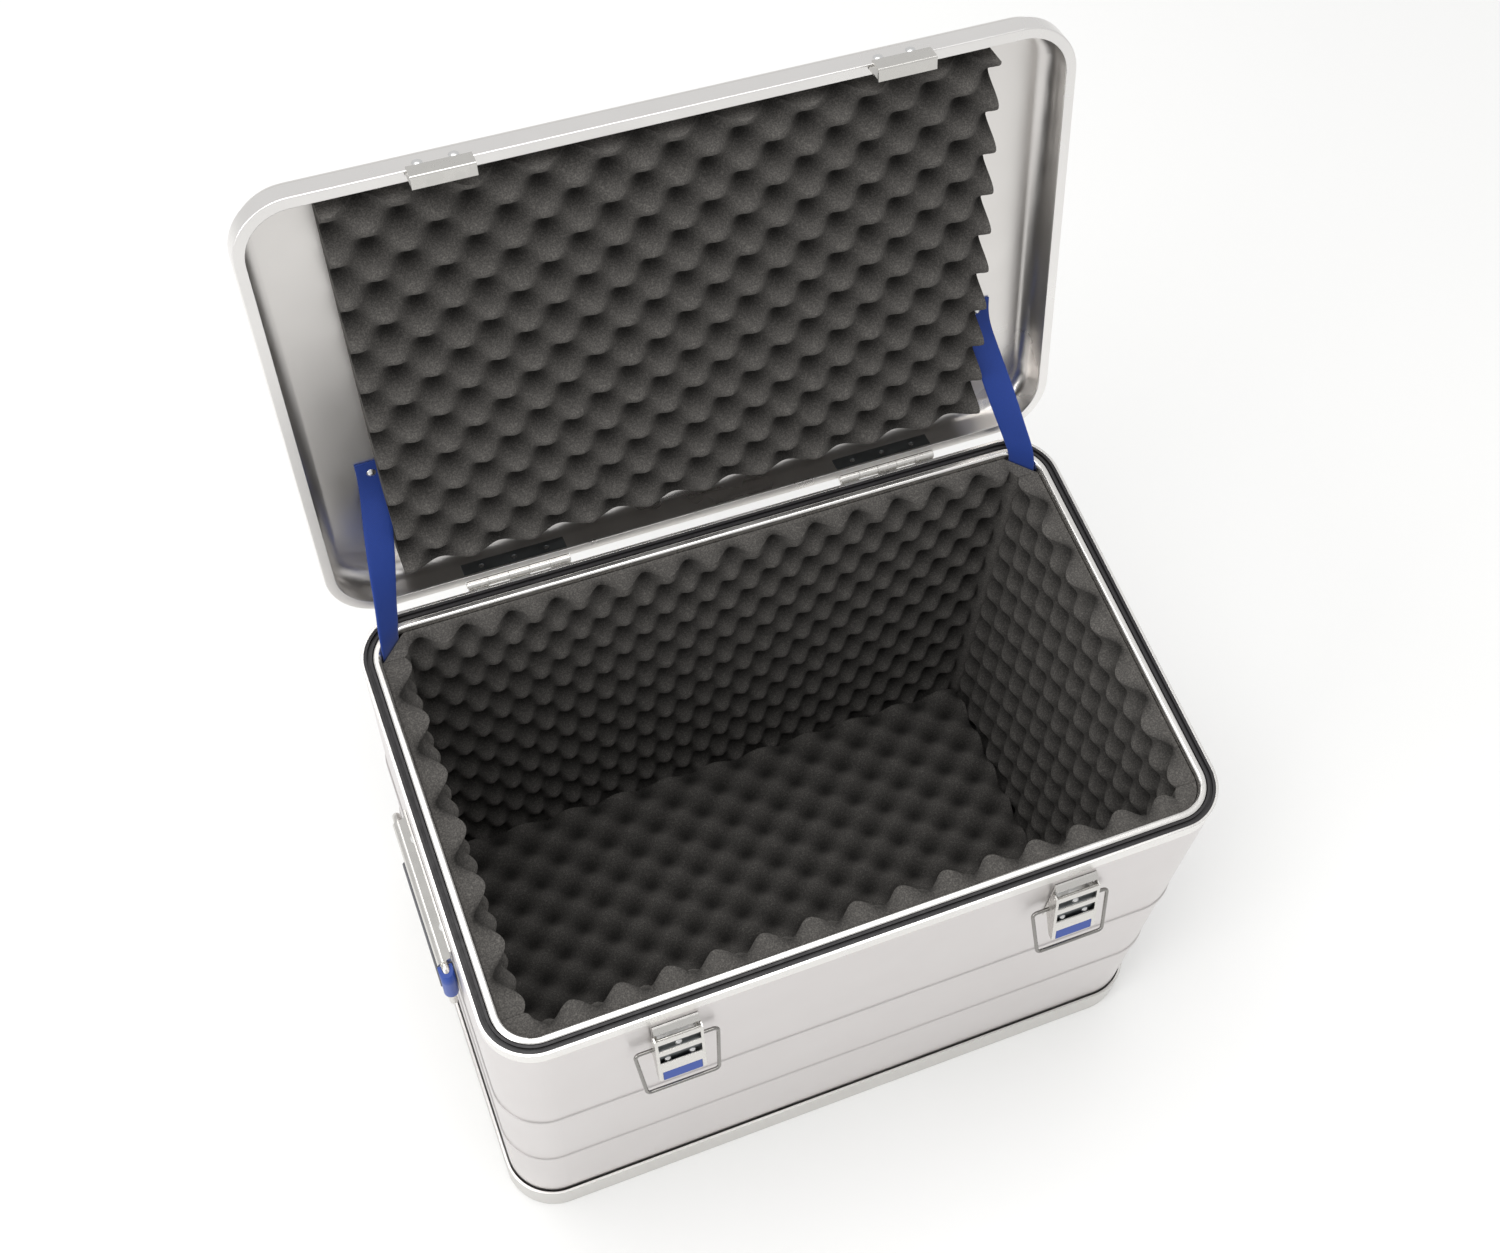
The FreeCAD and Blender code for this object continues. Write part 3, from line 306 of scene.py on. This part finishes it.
@dataclass(frozen=True)
class PolyesterWebbing(Finish):
    """Royal blue polyester webbing, a tight plain weave: ribs across the width, threads along it."""

    colour: str = "0c3c98"
    rib_mm: float = 1.3
    fuzz_mm: float = 0.5

    def shade(self, tree: Tree) -> Socket:
        """Builds the weave on the strap's own map, whose first axis runs across and second along, in metres."""
        flat = add_node(tree, "ShaderNodeUVMap", {"uv_map": "weave"}).outputs[0]
        axes = add_node(tree, "ShaderNodeSeparateXYZ", None, {0: flat})
        turn = 2 * math.pi / (self.rib_mm * MM)
        across = math_node(tree, "SINE", math_node(tree, "MULTIPLY", axes.outputs[0], turn))
        along = math_node(tree, "SINE", math_node(tree, "MULTIPLY", axes.outputs[1], turn))
        weave = math_node(tree, "MULTIPLY_ADD", math_node(tree, "MULTIPLY", across, along), 0.5, 0.5)
        mix = math_node(tree, "MULTIPLY", weave, self.noise(tree, self.fuzz_mm, 3.0))
        colour = ramp(tree, mix, [(0.05, "082c74"), (0.6, self.colour), (0.95, "1f58c2")])
        relief = self.bump(tree, mix, 0.6, 0.25)
        return add_node(tree, "ShaderNodeBsdfPrincipled", None, {
            "Base Color": colour, "Roughness": 0.7, "Sheen Weight": 0.25, "Sheen Roughness": 0.4,
            "Normal": relief}).outputs[0]


@dataclass(frozen=True)
class MouldedPlastic(Finish):
    """Injection-moulded nylon with a fine spark-eroded texture."""

    colour: str = "24479c"
    roughness: float = 0.42
    grit_mm: float = 0.35
    edge_mm: float = 0.5

    def shade(self, tree: Tree) -> Socket:
        """Builds satin plastic with soft edges and a light texture."""
        grit = self.noise(tree, self.grit_mm, 2.0)
        relief = self.bump(tree, grit, 0.15, 0.1, self.soft_edges(tree, self.edge_mm))
        return add_node(tree, "ShaderNodeBsdfPrincipled", None, {
            "Base Color": srgb(self.colour), "Roughness": self.roughness, "Normal": relief}).outputs[0]


@dataclass(frozen=True)
class StudioFloor(Finish):
    """Plain matt white sweep."""

    colour: str = "f6f6f5"

    def shade(self, tree: Tree) -> Socket:
        """Builds plain matt white."""
        return add_node(tree, "ShaderNodeBsdfPrincipled", None, {
            "Base Color": srgb(self.colour), "Roughness": 0.9, "Specular IOR Level": 0.1}).outputs[0]


SHEET = RolledSheet("rolled aluminium sheet", colour="d3cfce", roughness=0.33)
# Painted light: the lid's sheet and frame are the same aluminium as the body's sheet and the base frame, given
# lighter colours.
LID_SHEET_PAINTED_LIGHT = RolledSheet("lid aluminium sheet painted lighter", colour="e2dfdc", roughness=0.3, press_mm=2.0)
SECTION = ExtrudedSection("extruded aluminium section")
LID_SECTION_PAINTED_LIGHT = ExtrudedSection(
    "lid aluminium section painted lighter", colour="eceae8", roughness=0.3)
RIM_SECTION = ExtrudedSection("extruded aluminium rim", colour="e6e4e1", roughness=0.26)
STEEL = PlatedSteel("zinc plated steel", colour="d2d0cc", roughness=0.26)
WIRE = PlatedSteel("drawn steel wire", colour="8f8d8a", roughness=0.22)
# Painted shade: the same plated steel given a darker colour, for the parts named web or backing, which lie in shade.
PAINTED_SHADE_STEEL = PlatedSteel("zinc plated steel darkened as painted shade", colour="74787a", roughness=0.36)
RIVET = PlatedSteel("aluminium rivet", colour="dcdcdc", roughness=0.24, edge_mm=0.2)
FOAM = OpenCellFoam("charcoal polyurethane foam")
RUBBER = SealRubber("EPDM rubber")
WEBBING = PolyesterWebbing("blue polyester webbing")
BLUE_PLASTIC = MouldedPlastic("blue nylon")
GRIP_PLASTIC = MouldedPlastic("grey nylon grip", colour="55565a", roughness=0.5)


# ---------------------------------------------------------------- meshes


def new_piece(name: str, points: np.ndarray, faces: Sequence[Sequence[int]]) -> bpy.types.Object:
    """Makes an object from points and faces, in the model's frame.

    Args:
        name: the piece's name.
        points: an array of N by 3, in metres.
        faces: vertex indices of each face.

    Returns:
        The new object, linked to the scene.
    """
    mesh = bpy.data.meshes.new(name)
    mesh.from_pydata([tuple(p) for p in points], [], [list(f) for f in faces])
    mesh.update()
    made = bpy.data.objects.new(name, mesh)
    bpy.context.scene.collection.objects.link(made)
    return made


def settle(piece: bpy.types.Object) -> bpy.types.Object:
    """Turns a piece's modifiers into plain mesh."""
    bpy.context.view_layer.update()
    graph = bpy.context.evaluated_depsgraph_get()
    mesh = bpy.data.meshes.new_from_object(piece.evaluated_get(graph), depsgraph=graph)
    old, piece.data = piece.data, mesh
    piece.modifiers.clear()
    bpy.data.meshes.remove(old)
    mesh.name = piece.name
    return piece


def smooth(piece: bpy.types.Object, degrees: float = 40.0) -> None:
    """Shades a piece smooth, with sharp edges where it turns by more than an angle."""
    piece.data.shade_smooth()
    piece.data.set_sharp_from_angle(angle=math.radians(degrees))


@dataclass(frozen=True)
class Hinge:
    """The lid's hinge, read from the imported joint."""

    centre: Vector
    angle: float

    @classmethod
    def read(cls) -> "Hinge":
        """Reads the lid's joint from the frame."""
        joint = next(j for j in frame["joints"] if j["name"] == "lid_hinge")
        return cls(Vector(joint["pos_m"]), math.radians(joint["range_deg"][1]))

    def opened(self, points: np.ndarray) -> np.ndarray:
        """Moves points drawn on the closed lid to the open lid.

        Args:
            points: an array of N by 3, in metres, with the lid closed.

        Returns:
            The same points with the lid open.
        """
        turn = np.array(Matrix.Rotation(-self.angle, 3, "X"))
        centre = np.array(self.centre)
        return (np.asarray(points) - centre) @ turn.T + centre

    def turned(self, direction: Sequence[float]) -> tuple[float, float, float]:
        """Turns a direction from the closed lid to the open lid."""
        made = Matrix.Rotation(-self.angle, 3, "X") @ Vector(direction)
        return (made.x, made.y, made.z)


# ---------------------------------------------------------------- foam


@dataclass
class ConvolutedCut:
    """The rule that rollers cut egg-crate foam by, as a geometry node tree."""

    depth: float = 16 * MM
    pitch_u: float = 47 * MM
    pitch_v: float = 36 * MM
    roundness: float = 0.85
    unevenness: float = 0.7 * MM

    def tree(self) -> bpy.types.GeometryNodeTree:
        """Returns the tree, and builds it on the first call."""
        found = bpy.data.node_groups.get("convoluted_cut")
        if found:
            return found
        tree = bpy.data.node_groups.new("convoluted_cut", "GeometryNodeTree")
        face = tree.interface
        face.new_socket("Geometry", in_out="INPUT", socket_type="NodeSocketGeometry")
        for name in ("Depth", "Pitch U", "Pitch V", "Roundness", "Unevenness"):
            face.new_socket(name, in_out="INPUT", socket_type="NodeSocketFloat")
        face.new_socket("Inward", in_out="INPUT", socket_type="NodeSocketVector")
        face.new_socket("Finish", in_out="INPUT", socket_type="NodeSocketMaterial")
        face.new_socket("Geometry", in_out="OUTPUT", socket_type="NodeSocketGeometry")
        given = add_node(tree, "NodeGroupInput").outputs
        cell = add_node(tree, "GeometryNodeInputNamedAttribute", {"data_type": "FLOAT_VECTOR"}, {"Name": "cell"})
        axes = add_node(tree, "ShaderNodeSeparateXYZ", None, {0: cell.outputs[0]}).outputs
        waves = []
        for axis, pitch in ((axes[0], given["Pitch U"]), (axes[1], given["Pitch V"])):
            turn = math_node(tree, "DIVIDE", math_node(tree, "MULTIPLY", axis, 2 * math.pi), pitch)
            waves.append(math_node(tree, "COSINE", turn))
        rise = math_node(tree, "MULTIPLY_ADD", math_node(tree, "MULTIPLY", *waves), 0.5, 0.5)
        rise = math_node(tree, "POWER", rise, given["Roundness"])
        sink = math_node(tree, "MULTIPLY", math_node(tree, "SUBTRACT", 1.0, rise), given["Depth"])
        noise = add_node(tree, "ShaderNodeTexNoise", None, {"Scale": 1 / (16 * MM), "Detail": 3.0})
        wobble = math_node(tree, "MULTIPLY", noise.outputs[0], given["Unevenness"])
        fall = math_node(tree, "MULTIPLY", math_node(tree, "ADD", sink, wobble), axes[2])
        offset = add_node(tree, "ShaderNodeVectorMath", {"operation": "SCALE"}, {
            0: given["Inward"], "Scale": math_node(tree, "MULTIPLY", fall, -1.0)}).outputs[0]
        moved = add_node(tree, "GeometryNodeSetPosition", None, {
            "Geometry": given["Geometry"], "Offset": offset}).outputs[0]
        # How deep each point is cut, stored as "sunk"; the foam's shader uses it to paint shade into the valleys.
        depth = math_node(tree, "MULTIPLY", math_node(tree, "SUBTRACT", 1.0, rise), axes[2])
        marked = add_node(tree, "GeometryNodeStoreNamedAttribute", {"data_type": "FLOAT", "domain": "POINT"}, {
            "Geometry": moved, "Name": "sunk", "Value": depth}).outputs[0]
        real = add_node(tree, "GeometryNodeRealizeInstances", None, {"Geometry": marked}).outputs[0]
        dressed = add_node(tree, "GeometryNodeSetMaterial", None, {
            "Geometry": real, "Material": given["Finish"]}).outputs[0]
        add_node(tree, "NodeGroupOutput", None, {"Geometry": dressed})
        return tree

    def apply(self, piece: bpy.types.Object, inward: Sequence[float], finish: Finish) -> None:
        """Cuts the peaks and valleys into a slab and leaves plain mesh.

        Args:
            piece: a slab with the point attribute "cell": place across, place along, and how much is cut.
            inward: the way the peaks point.
            finish: the foam's finish.
        """
        modifier = piece.modifiers.new("cut", "NODES")
        modifier.node_group = self.tree()
        values = {"Depth": self.depth, "Pitch U": self.pitch_u, "Pitch V": self.pitch_v, "Roundness": self.roundness,
                  "Unevenness": self.unevenness, "Inward": list(inward), "Finish": finish.material()}
        for item in modifier.node_group.interface.items_tree:
            if item.in_out == "INPUT" and item.name in values:
                modifier[item.identifier] = values[item.name]
        settle(piece)


Placer = Callable[[np.ndarray, np.ndarray, bool], np.ndarray]


@dataclass
class FoamPad:
    """One pad of the lining: a closed slab whose inner face is cut into peaks."""

    name: str
    body: str
    node: str
    across: tuple[float, float]
    along: tuple[float, float]
    inward: tuple[float, float, float]
    place: Placer
    swell: Callable[[np.ndarray, np.ndarray], np.ndarray] | None = None
    phase: tuple[float, float] = (0.0, 0.0)
    extra_lines: tuple[float, ...] = ()
    grid: float = 2.5 * MM
    cut: float = 15 * MM
    swap: bool = False

    def build(self) -> bpy.types.Object:
        """Builds the slab, cuts it, hangs it on its body and hides the CAD part that it replaces.

        Returns:
            The finished pad.
        """
        lines_u = self.lines(self.across)
        lines_v = np.unique(np.concatenate([self.lines(self.along), self.extra_lines]))
        u, v = np.meshgrid(lines_u, lines_v, indexing="ij")
        front, back = self.place(u, v, True), self.place(u, v, False)
        points = np.concatenate([front.reshape(-1, 3), back.reshape(-1, 3)])
        piece = new_piece(self.name, points, self.faces(*u.shape))
        weight = np.ones_like(u) if self.swell is None else self.swell(u, v)
        a, b = (v, u) if self.swap else (u, v)
        cell = np.stack([a - self.phase[0], b - self.phase[1], weight], axis=-1).reshape(-1, 3)
        cell = np.concatenate([cell, np.zeros_like(cell)])
        layer = piece.data.attributes.new("cell", "FLOAT_VECTOR", "POINT")
        layer.data.foreach_set("vector", cell.astype(np.float32).ravel())
        ConvolutedCut(self.cut).apply(piece, self.inward, FOAM)
        self.tidy(piece)
        smooth(piece, 50)
        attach(piece, self.body)
        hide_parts(self.node)
        return piece

    def lines(self, span: tuple[float, float]) -> np.ndarray:
        """Returns evenly spaced grid lines over a span."""
        steps = max(2, round((span[1] - span[0]) / self.grid))
        return np.linspace(span[0], span[1], steps + 1)

    @staticmethod
    def faces(rows: int, columns: int) -> list[list[int]]:
        """Returns the faces of a closed slab whose two grids have the same lines."""
        index = np.arange(rows * columns).reshape(rows, columns)
        under = index + rows * columns
        quads = []
        for a, b, c, d in zip(index[:-1, :-1].ravel(), index[1:, :-1].ravel(), index[1:, 1:].ravel(),
                              index[:-1, 1:].ravel()):
            quads.append([a, b, c, d])
        for a, b, c, d in zip(under[:-1, :-1].ravel(), under[:-1, 1:].ravel(), under[1:, 1:].ravel(),
                              under[1:, :-1].ravel()):
            quads.append([a, b, c, d])
        for top, low, turned in ((index[:, 0], under[:, 0], False), (index[:, -1], under[:, -1], True),
                                 (index[0, :], under[0, :], True), (index[-1, :], under[-1, :], False)):
            for a, b, c, d in zip(top[:-1], low[:-1], low[1:], top[1:]):
                quads.append([d, c, b, a] if turned else [a, b, c, d])
        return quads

    def tidy(self, piece: bpy.types.Object) -> None:
        """Merges collapsed edges and points every face outwards."""
        work = bmesh.new()
        work.from_mesh(piece.data)
        bmesh.ops.remove_doubles(work, verts=work.verts, dist=0.05 * MM)
        bmesh.ops.dissolve_degenerate(work, edges=work.edges, dist=0.02 * MM)
        bmesh.ops.recalc_face_normals(work, faces=work.faces)
        work.to_mesh(piece.data)
        work.free()
        piece.data.update()


@dataclass
class Lining:
    """The case's foam lining: four walls, a floor and the lid's pad."""

    hinge: Hinge
    half_length: float = 290 * MM
    half_width: float = 185 * MM
    corner: float = 40 * MM
    wall_inset: float = 2.1 * MM
    rim_inset: float = 15.4 * MM
    step: float = 386.5 * MM
    strap_chord: float = 27.4 * MM
    strap_slot: tuple[float, float] = (4.5 * MM, 23 * MM)
    fade: tuple[float, float] = (6 * MM, 3 * MM)
    lid_across: tuple[float, float] = (-239 * MM, 236 * MM)
    lid_along: tuple[float, float] = (-169.5 * MM, 161 * MM)
    lid_top: float = 441.5 * MM
    lid_thick: float = 34 * MM
    lid_cut: float = 21 * MM
    pads: list[bpy.types.Object] = field(default_factory=list)

    def build(self) -> None:
        """Builds all six pads."""
        front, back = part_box("foam_front"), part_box("foam_back")
        self.long_wall("foam_lining_front", "foam_front", -1, abs(front[1].y), front)
        self.long_wall("foam_lining_back", "foam_back", 1, back[0].y, back)
        for name, side in (("left", -1), ("right", 1)):
            self.short_wall(f"foam_lining_{name}", f"foam_{name}", side)
        self.floor()
        self.lid()

    def outline(self, x: np.ndarray, inset: np.ndarray) -> np.ndarray:
        """Returns how far back the rounded outline lies at x.

        Args:
            x: places along the case.
            inset: how far the outline is drawn in.

        Returns:
            The outline's distance from the middle plane.
        """
        centre_x, centre_y = self.half_length - self.corner, self.half_width - self.corner
        radius = self.corner - inset
        past = np.clip(np.abs(x) - centre_x, 0, None)
        return centre_y + np.sqrt(np.clip(radius ** 2 - past ** 2, 0, None))

    def long_wall(self, name: str, node: str, side: int, face: float, box: tuple[Vector, Vector]) -> None:
        """Builds the front or back pad, whose ends fill the round corners."""
        ends = self.half_length - self.corner

        def place(u: np.ndarray, v: np.ndarray, inner: bool) -> np.ndarray:
            inset = np.where(v > self.step + 0.01 * MM, self.rim_inset, self.wall_inset)
            radius = self.corner - inset
            reach = ends + np.sqrt(radius ** 2 - (face - (self.half_width - self.corner)) ** 2)
            x = np.clip(u, -reach, reach)
            back = self.outline(x, inset)
            if side > 0:
                past = np.abs(x) - ends
                chord = self.half_width - self.corner + self.strap_chord - past
                strap = (v > self.step) & (past > self.strap_slot[0]) & (past < self.strap_slot[1])
                back = np.where(strap, np.minimum(back, chord), back)
            y = np.full_like(x, face) if inner else np.maximum(back, face)
            return np.stack([x, side * y, v], axis=-1)

        def swell(u: np.ndarray, v: np.ndarray) -> np.ndarray:
            return np.clip((ends + self.fade[0] - np.abs(u)) / self.fade[1], 0, 1)

        length = ends + math.sqrt((self.corner - self.wall_inset) ** 2 - (face - self.half_width + self.corner) ** 2)
        pad = FoamPad(name, "case", node, (-length, length), (box[0].z, box[1].z), (0, -side, 0), place, swell,
                      phase=(0, box[1].z), extra_lines=(self.step, self.step + 0.1 * MM), swap=True)
        self.pads.append(pad.build())

    def short_wall(self, name: str, node: str, side: int) -> None:
        """Builds the left or right pad between the long ones."""
        low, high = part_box(node)
        face = min(abs(low.x), abs(high.x))

        def place(u: np.ndarray, v: np.ndarray, inner: bool) -> np.ndarray:
            inset = np.where(v > self.step + 0.01 * MM, self.rim_inset, self.wall_inset)
            radius = self.corner - inset
            past = np.clip(np.abs(u) - (self.half_width - self.corner), 0, None)
            x = self.half_length - self.corner + np.sqrt(radius ** 2 - past ** 2)
            return np.stack([side * (np.full_like(u, face) if inner else x), u, v], axis=-1)

        pad = FoamPad(name, "case", node, (low.y, high.y), (low.z, high.z), (-side, 0, 0), place,
                      phase=(0, high.z), extra_lines=(self.step, self.step + 0.1 * MM))
        self.pads.append(pad.build())

    def floor(self) -> None:
        """Builds the floor pad."""
        low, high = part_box("foam_base")

        def place(u: np.ndarray, v: np.ndarray, inner: bool) -> np.ndarray:
            return np.stack([u, v, np.full_like(u, high.z if inner else low.z)], axis=-1)

        pad = FoamPad("foam_lining_floor", "case", "foam_base", (low.x, high.x), (low.y, high.y), (0, 0, 1), place)
        self.pads.append(pad.build())

    def lid(self) -> None:
        """Builds the lid's pad, drawn closed and opened."""
        def place(u: np.ndarray, v: np.ndarray, inner: bool) -> np.ndarray:
            points = np.stack([u, v, np.full_like(u, self.lid_top - (self.lid_thick if inner else 0))],
                              axis=-1)
            return self.hinge.opened(points.reshape(-1, 3)).reshape(points.shape)

        pad = FoamPad("foam_lining_lid", "lid", "lid_foam", self.lid_across, self.lid_along,
                      self.hinge.turned((0, 0, -1)), place, phase=(self.lid_across[1], self.lid_along[0]),
                      cut=self.lid_cut)
        self.pads.append(pad.build())


# ---------------------------------------------------------------- straps


@dataclass
class LidStrap:
    """A webbing strap from the lid's panel over the rim's corner and down behind the foam."""

    name: str
    side: int
    hinge: Hinge
    width: float = 22 * MM
    thick: float = 1.6 * MM
    bend: float = 14 * MM
    place_x: float = 243.5 * MM
    rivet_span: tuple[float, float] = (67 * MM, 87 * MM)
    lid_sheet: float = 441.4 * MM
    corner_at: tuple[float, float] = (250 * MM, 145 * MM)
    corner_reach: float = 21.3 * MM
    over_rim: float = 414 * MM
    foot: float = 388 * MM

    def stations(self) -> list[tuple[Vector, Vector]]:
        """Returns the corners of the strap's middle line, each with the direction of its width."""
        x, under = self.side * self.place_x, self.lid_sheet - self.thick / 2
        top = self.hinge.opened(np.array([[x, y, under] for y in self.rivet_span]))
        diagonal_reach = self.corner_reach * math.sqrt(0.5)
        reach, depth = (place + diagonal_reach for place in self.corner_at)
        flat, diagonal = Vector((1, 0, 0)), Vector((1, -self.side, 0)).normalized()
        return [(Vector(top[0]), flat), (Vector(top[1]), flat),
                (Vector((self.side * reach, depth, self.over_rim)), diagonal),
                (Vector((self.side * reach, depth, self.foot)), diagonal)]

    def path(self) -> tuple[list[Vector], list[Vector]]:
        """Returns the middle line as close points with rounded corners, and the width's direction at each."""
        stops = self.stations()
        points, widths = [], []

        def add(start: Vector, end: Vector, first: Vector, last: Vector, step: float = 3 * MM) -> None:
            count = max(1, round((end - start).length / step))
            for i in range(count):
                share = i / count
                eased = share * share * (3 - 2 * share)
                points.append(start.lerp(end, share))
                widths.append(first.lerp(last, eased).normalized())

        here = stops[0][0]
        for before, corner, after in zip(stops, stops[1:], stops[2:]):
            arrive = (corner[0] - before[0]).normalized()
            leave = (after[0] - corner[0]).normalized()
            cut = min(self.bend, (corner[0] - here).length * 0.8)
            first, last = corner[0] - arrive * cut, corner[0] + leave * cut
            add(here, first, before[1] if corner is stops[1] else stops[1][1], corner[1])
            for i in range(8):
                t = i / 8
                points.append(first.lerp(corner[0], t).lerp(corner[0].lerp(last, t), t))
                widths.append(corner[1].copy())
            here = last
        add(here, stops[-1][0], stops[-2][1], stops[-1][1])
        points.append(stops[-1][0])
        widths.append(stops[-1][1])
        return points, widths

    def build(self) -> bpy.types.Object:
        """Builds the strap as one closed band with a map for its weave."""
        points, widths = self.path()
        profile = self.profile()
        rings, length, lengths = [], 0.0, []
        for i, (point, width) in enumerate(zip(points, widths)):
            along = (points[min(i + 1, len(points) - 1)] - points[max(i - 1, 0)]).normalized()
            normal = along.cross(width).normalized()
            across = normal.cross(along).normalized()
            length += (point - points[i - 1]).length if i else 0.0
            lengths.append(length)
            rings.append([point + across * a + normal * b for a, b in profile])
        count = len(profile)
        verts = np.array([tuple(p) for ring in rings for p in ring])
        faces = [[i * count + j, i * count + (j + 1) % count, (i + 1) * count + (j + 1) % count, (i + 1) * count + j]
                 for i in range(len(rings) - 1) for j in range(count)]
        faces += [list(range(count))[::-1], [len(verts) - count + j for j in range(count)]]
        piece = new_piece(self.name, verts, faces)
        layer = piece.data.uv_layers.new(name="weave")
        for loop in piece.data.loops:
            ring, place = divmod(loop.vertex_index, count)
            layer.data[loop.index].uv = (profile[place][0], lengths[ring])
        piece.data.materials.append(WEBBING.material())
        smooth(piece, 50)
        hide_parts(f"strap_{'left' if self.side < 0 else 'right'}")
        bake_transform(piece)
        return piece

    def profile(self) -> list[tuple[float, float]]:
        """Returns the strap's cross-section: flat faces and rounded selvedges."""
        half, deep = self.width / 2, self.thick / 2
        top = [(a, deep) for a in np.linspace(-half + deep, half - deep, 9)]
        right = [(half - deep + deep * math.cos(t), deep * math.sin(t)) for t in (0.8, 0.0, -0.8)]
        low = [(a, -deep) for a in np.linspace(half - deep, -half + deep, 9)]
        left = [(-half + deep - deep * math.cos(t), -deep * math.sin(t)) for t in (0.8, 0.0, -0.8)]
        return [(float(a), float(b)) for a, b in top + right + low + left]


# ---------------------------------------------------------------- metalwork


@dataclass
class Metalwork:
    """Dresses the CAD parts that keep their own shapes."""

    finishes: dict[str, Finish] = field(default_factory=lambda: {
        "body_shell": SHEET, "lid_panel": LID_SHEET_PAINTED_LIGHT, "base_plate": SHEET, "base_frame": SECTION,
        "lid_frame": LID_SECTION_PAINTED_LIGHT, "rim_frame": RIM_SECTION, "rim_seal": RUBBER})

    def finish_of(self, node: str) -> Finish:
        """Returns the finish of one CAD part."""
        if node in self.finishes:
            return self.finishes[node]
        if "rivets" in node or node.endswith("studs"):
            return RIVET
        if (node.startswith("latch") and node.endswith("grip")) or node.endswith("sleeves"):
            return BLUE_PLASTIC
        if node.endswith("grip"):
            return GRIP_PLASTIC
        # webs and backings get plated steel darkened as painted shade
        if node.endswith(("web", "backing")):
            return PAINTED_SHADE_STEEL
        if node.endswith("bail"):
            return WIRE
        return STEEL

    def dress(self) -> None:
        """Gives every shown CAD part its finish."""
        for name, node in frame["nodes"].items():
            if node.hide_render:
                continue
            node.data.materials.clear()
            node.data.materials.append(self.finish_of(name).material())
            log.info("dressed %s", name)


# ---------------------------------------------------------------- studio


@dataclass(frozen=True)
class SoftBox:
    """One square soft box: where it hangs, the point it faces, its side in metres and its power in watts."""

    name: str
    at: tuple[float, float, float]
    to: tuple[float, float, float]
    side: float
    power: float

    def hang(self) -> None:
        """Adds the light to the scene."""
        data = bpy.data.lights.new(self.name, "AREA")
        data.size, data.energy = self.side, self.power
        lamp = bpy.data.objects.new(self.name, data)
        lamp.location = self.at
        lamp.rotation_euler = (Vector(self.to) - Vector(self.at)).to_track_quat("-Z", "Y").to_euler()
        bpy.context.scene.collection.objects.link(lamp)


@dataclass
class Studio:
    """Floor, light and camera."""

    camera_at: tuple[float, float, float] = (-0.3251, -0.6110, 1.7801)
    azimuth: float = 0.5693
    elevation: float = 1.0630
    roll: float = 0.2074
    lens: float = 48.48
    shift: tuple[float, float] = (-0.0875, 0.0176)
    room: float = 0.75
    floor_half: float = 4.0
    soft_boxes: tuple[SoftBox, ...] = (
        SoftBox("overhead soft box", (-0.3, 0.1, 2.9), (0, 0, 0.3), 2.2, 38),
        SoftBox("left soft box", (-2.4, -0.9, 1.8), (0, 0, 0.4), 1.6, 22))

    def build(self) -> None:
        """Builds the whole studio."""
        self.floor()
        self.light()
        self.camera()

    def floor(self) -> None:
        """Lays a plain pale floor."""
        half = self.floor_half
        piece = new_piece("studio_floor", np.array([(-half, -half, 0), (half, -half, 0), (half, half, 0),
                                                    (-half, half, 0)]), [[0, 1, 2, 3]])
        piece.data.materials.append(StudioFloor("white studio floor").material())

    def light(self) -> None:
        """Hangs a large soft box overhead and a fill to the left, in a white room."""
        scene = bpy.context.scene
        world = bpy.data.worlds.new("white room")
        world.use_nodes = True
        world.node_tree.nodes["Background"].inputs["Color"].default_value = (1, 1, 1, 1)
        world.node_tree.nodes["Background"].inputs["Strength"].default_value = self.room
        scene.world = world
        scene.view_settings.view_transform = "Standard"
        for soft_box in self.soft_boxes:
            soft_box.hang()

    def camera(self) -> None:
        """Sets the camera above the front left corner, tilted slightly."""
        flat = math.cos(self.elevation)
        ahead = Vector((math.sin(self.azimuth) * flat, math.cos(self.azimuth) * flat, -math.sin(self.elevation)))
        right = ahead.cross(Vector((0, 0, 1))).normalized()
        up = right.cross(ahead)
        c, s = math.cos(self.roll), math.sin(self.roll)
        right, up = right * c + up * s, up * c - right * s
        turn = Matrix((right, up, -ahead)).transposed().to_4x4()
        data = bpy.data.cameras.new("camera")
        data.lens, data.sensor_width = self.lens, 36
        data.clip_start, data.clip_end = 0.01, 50
        data.shift_x, data.shift_y = self.shift
        holder = bpy.data.objects.new("camera", data)
        holder.matrix_world = Matrix.Translation(self.camera_at) @ turn
        bpy.context.scene.collection.objects.link(holder)
        bpy.context.scene.camera = holder


def main() -> None:
    """Builds the case's soft parts, dresses its metal, lights it and sets the camera."""
    logging.basicConfig(level=logging.INFO, format="%(message)s")
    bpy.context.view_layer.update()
    hinge = Hinge.read()
    Studio().build()
    lining = Lining(hinge)
    lining.build()
    for pad in lining.pads:
        log.info("built %s with %d faces", pad.name, len(pad.data.polygons))
    for name, side in (("left", -1), ("right", 1)):
        strap = LidStrap(f"lid_strap_{name}", side, hinge).build()
        log.info("built %s", strap.name)
    Metalwork().dress()


if __name__ == "__main__":
    main()
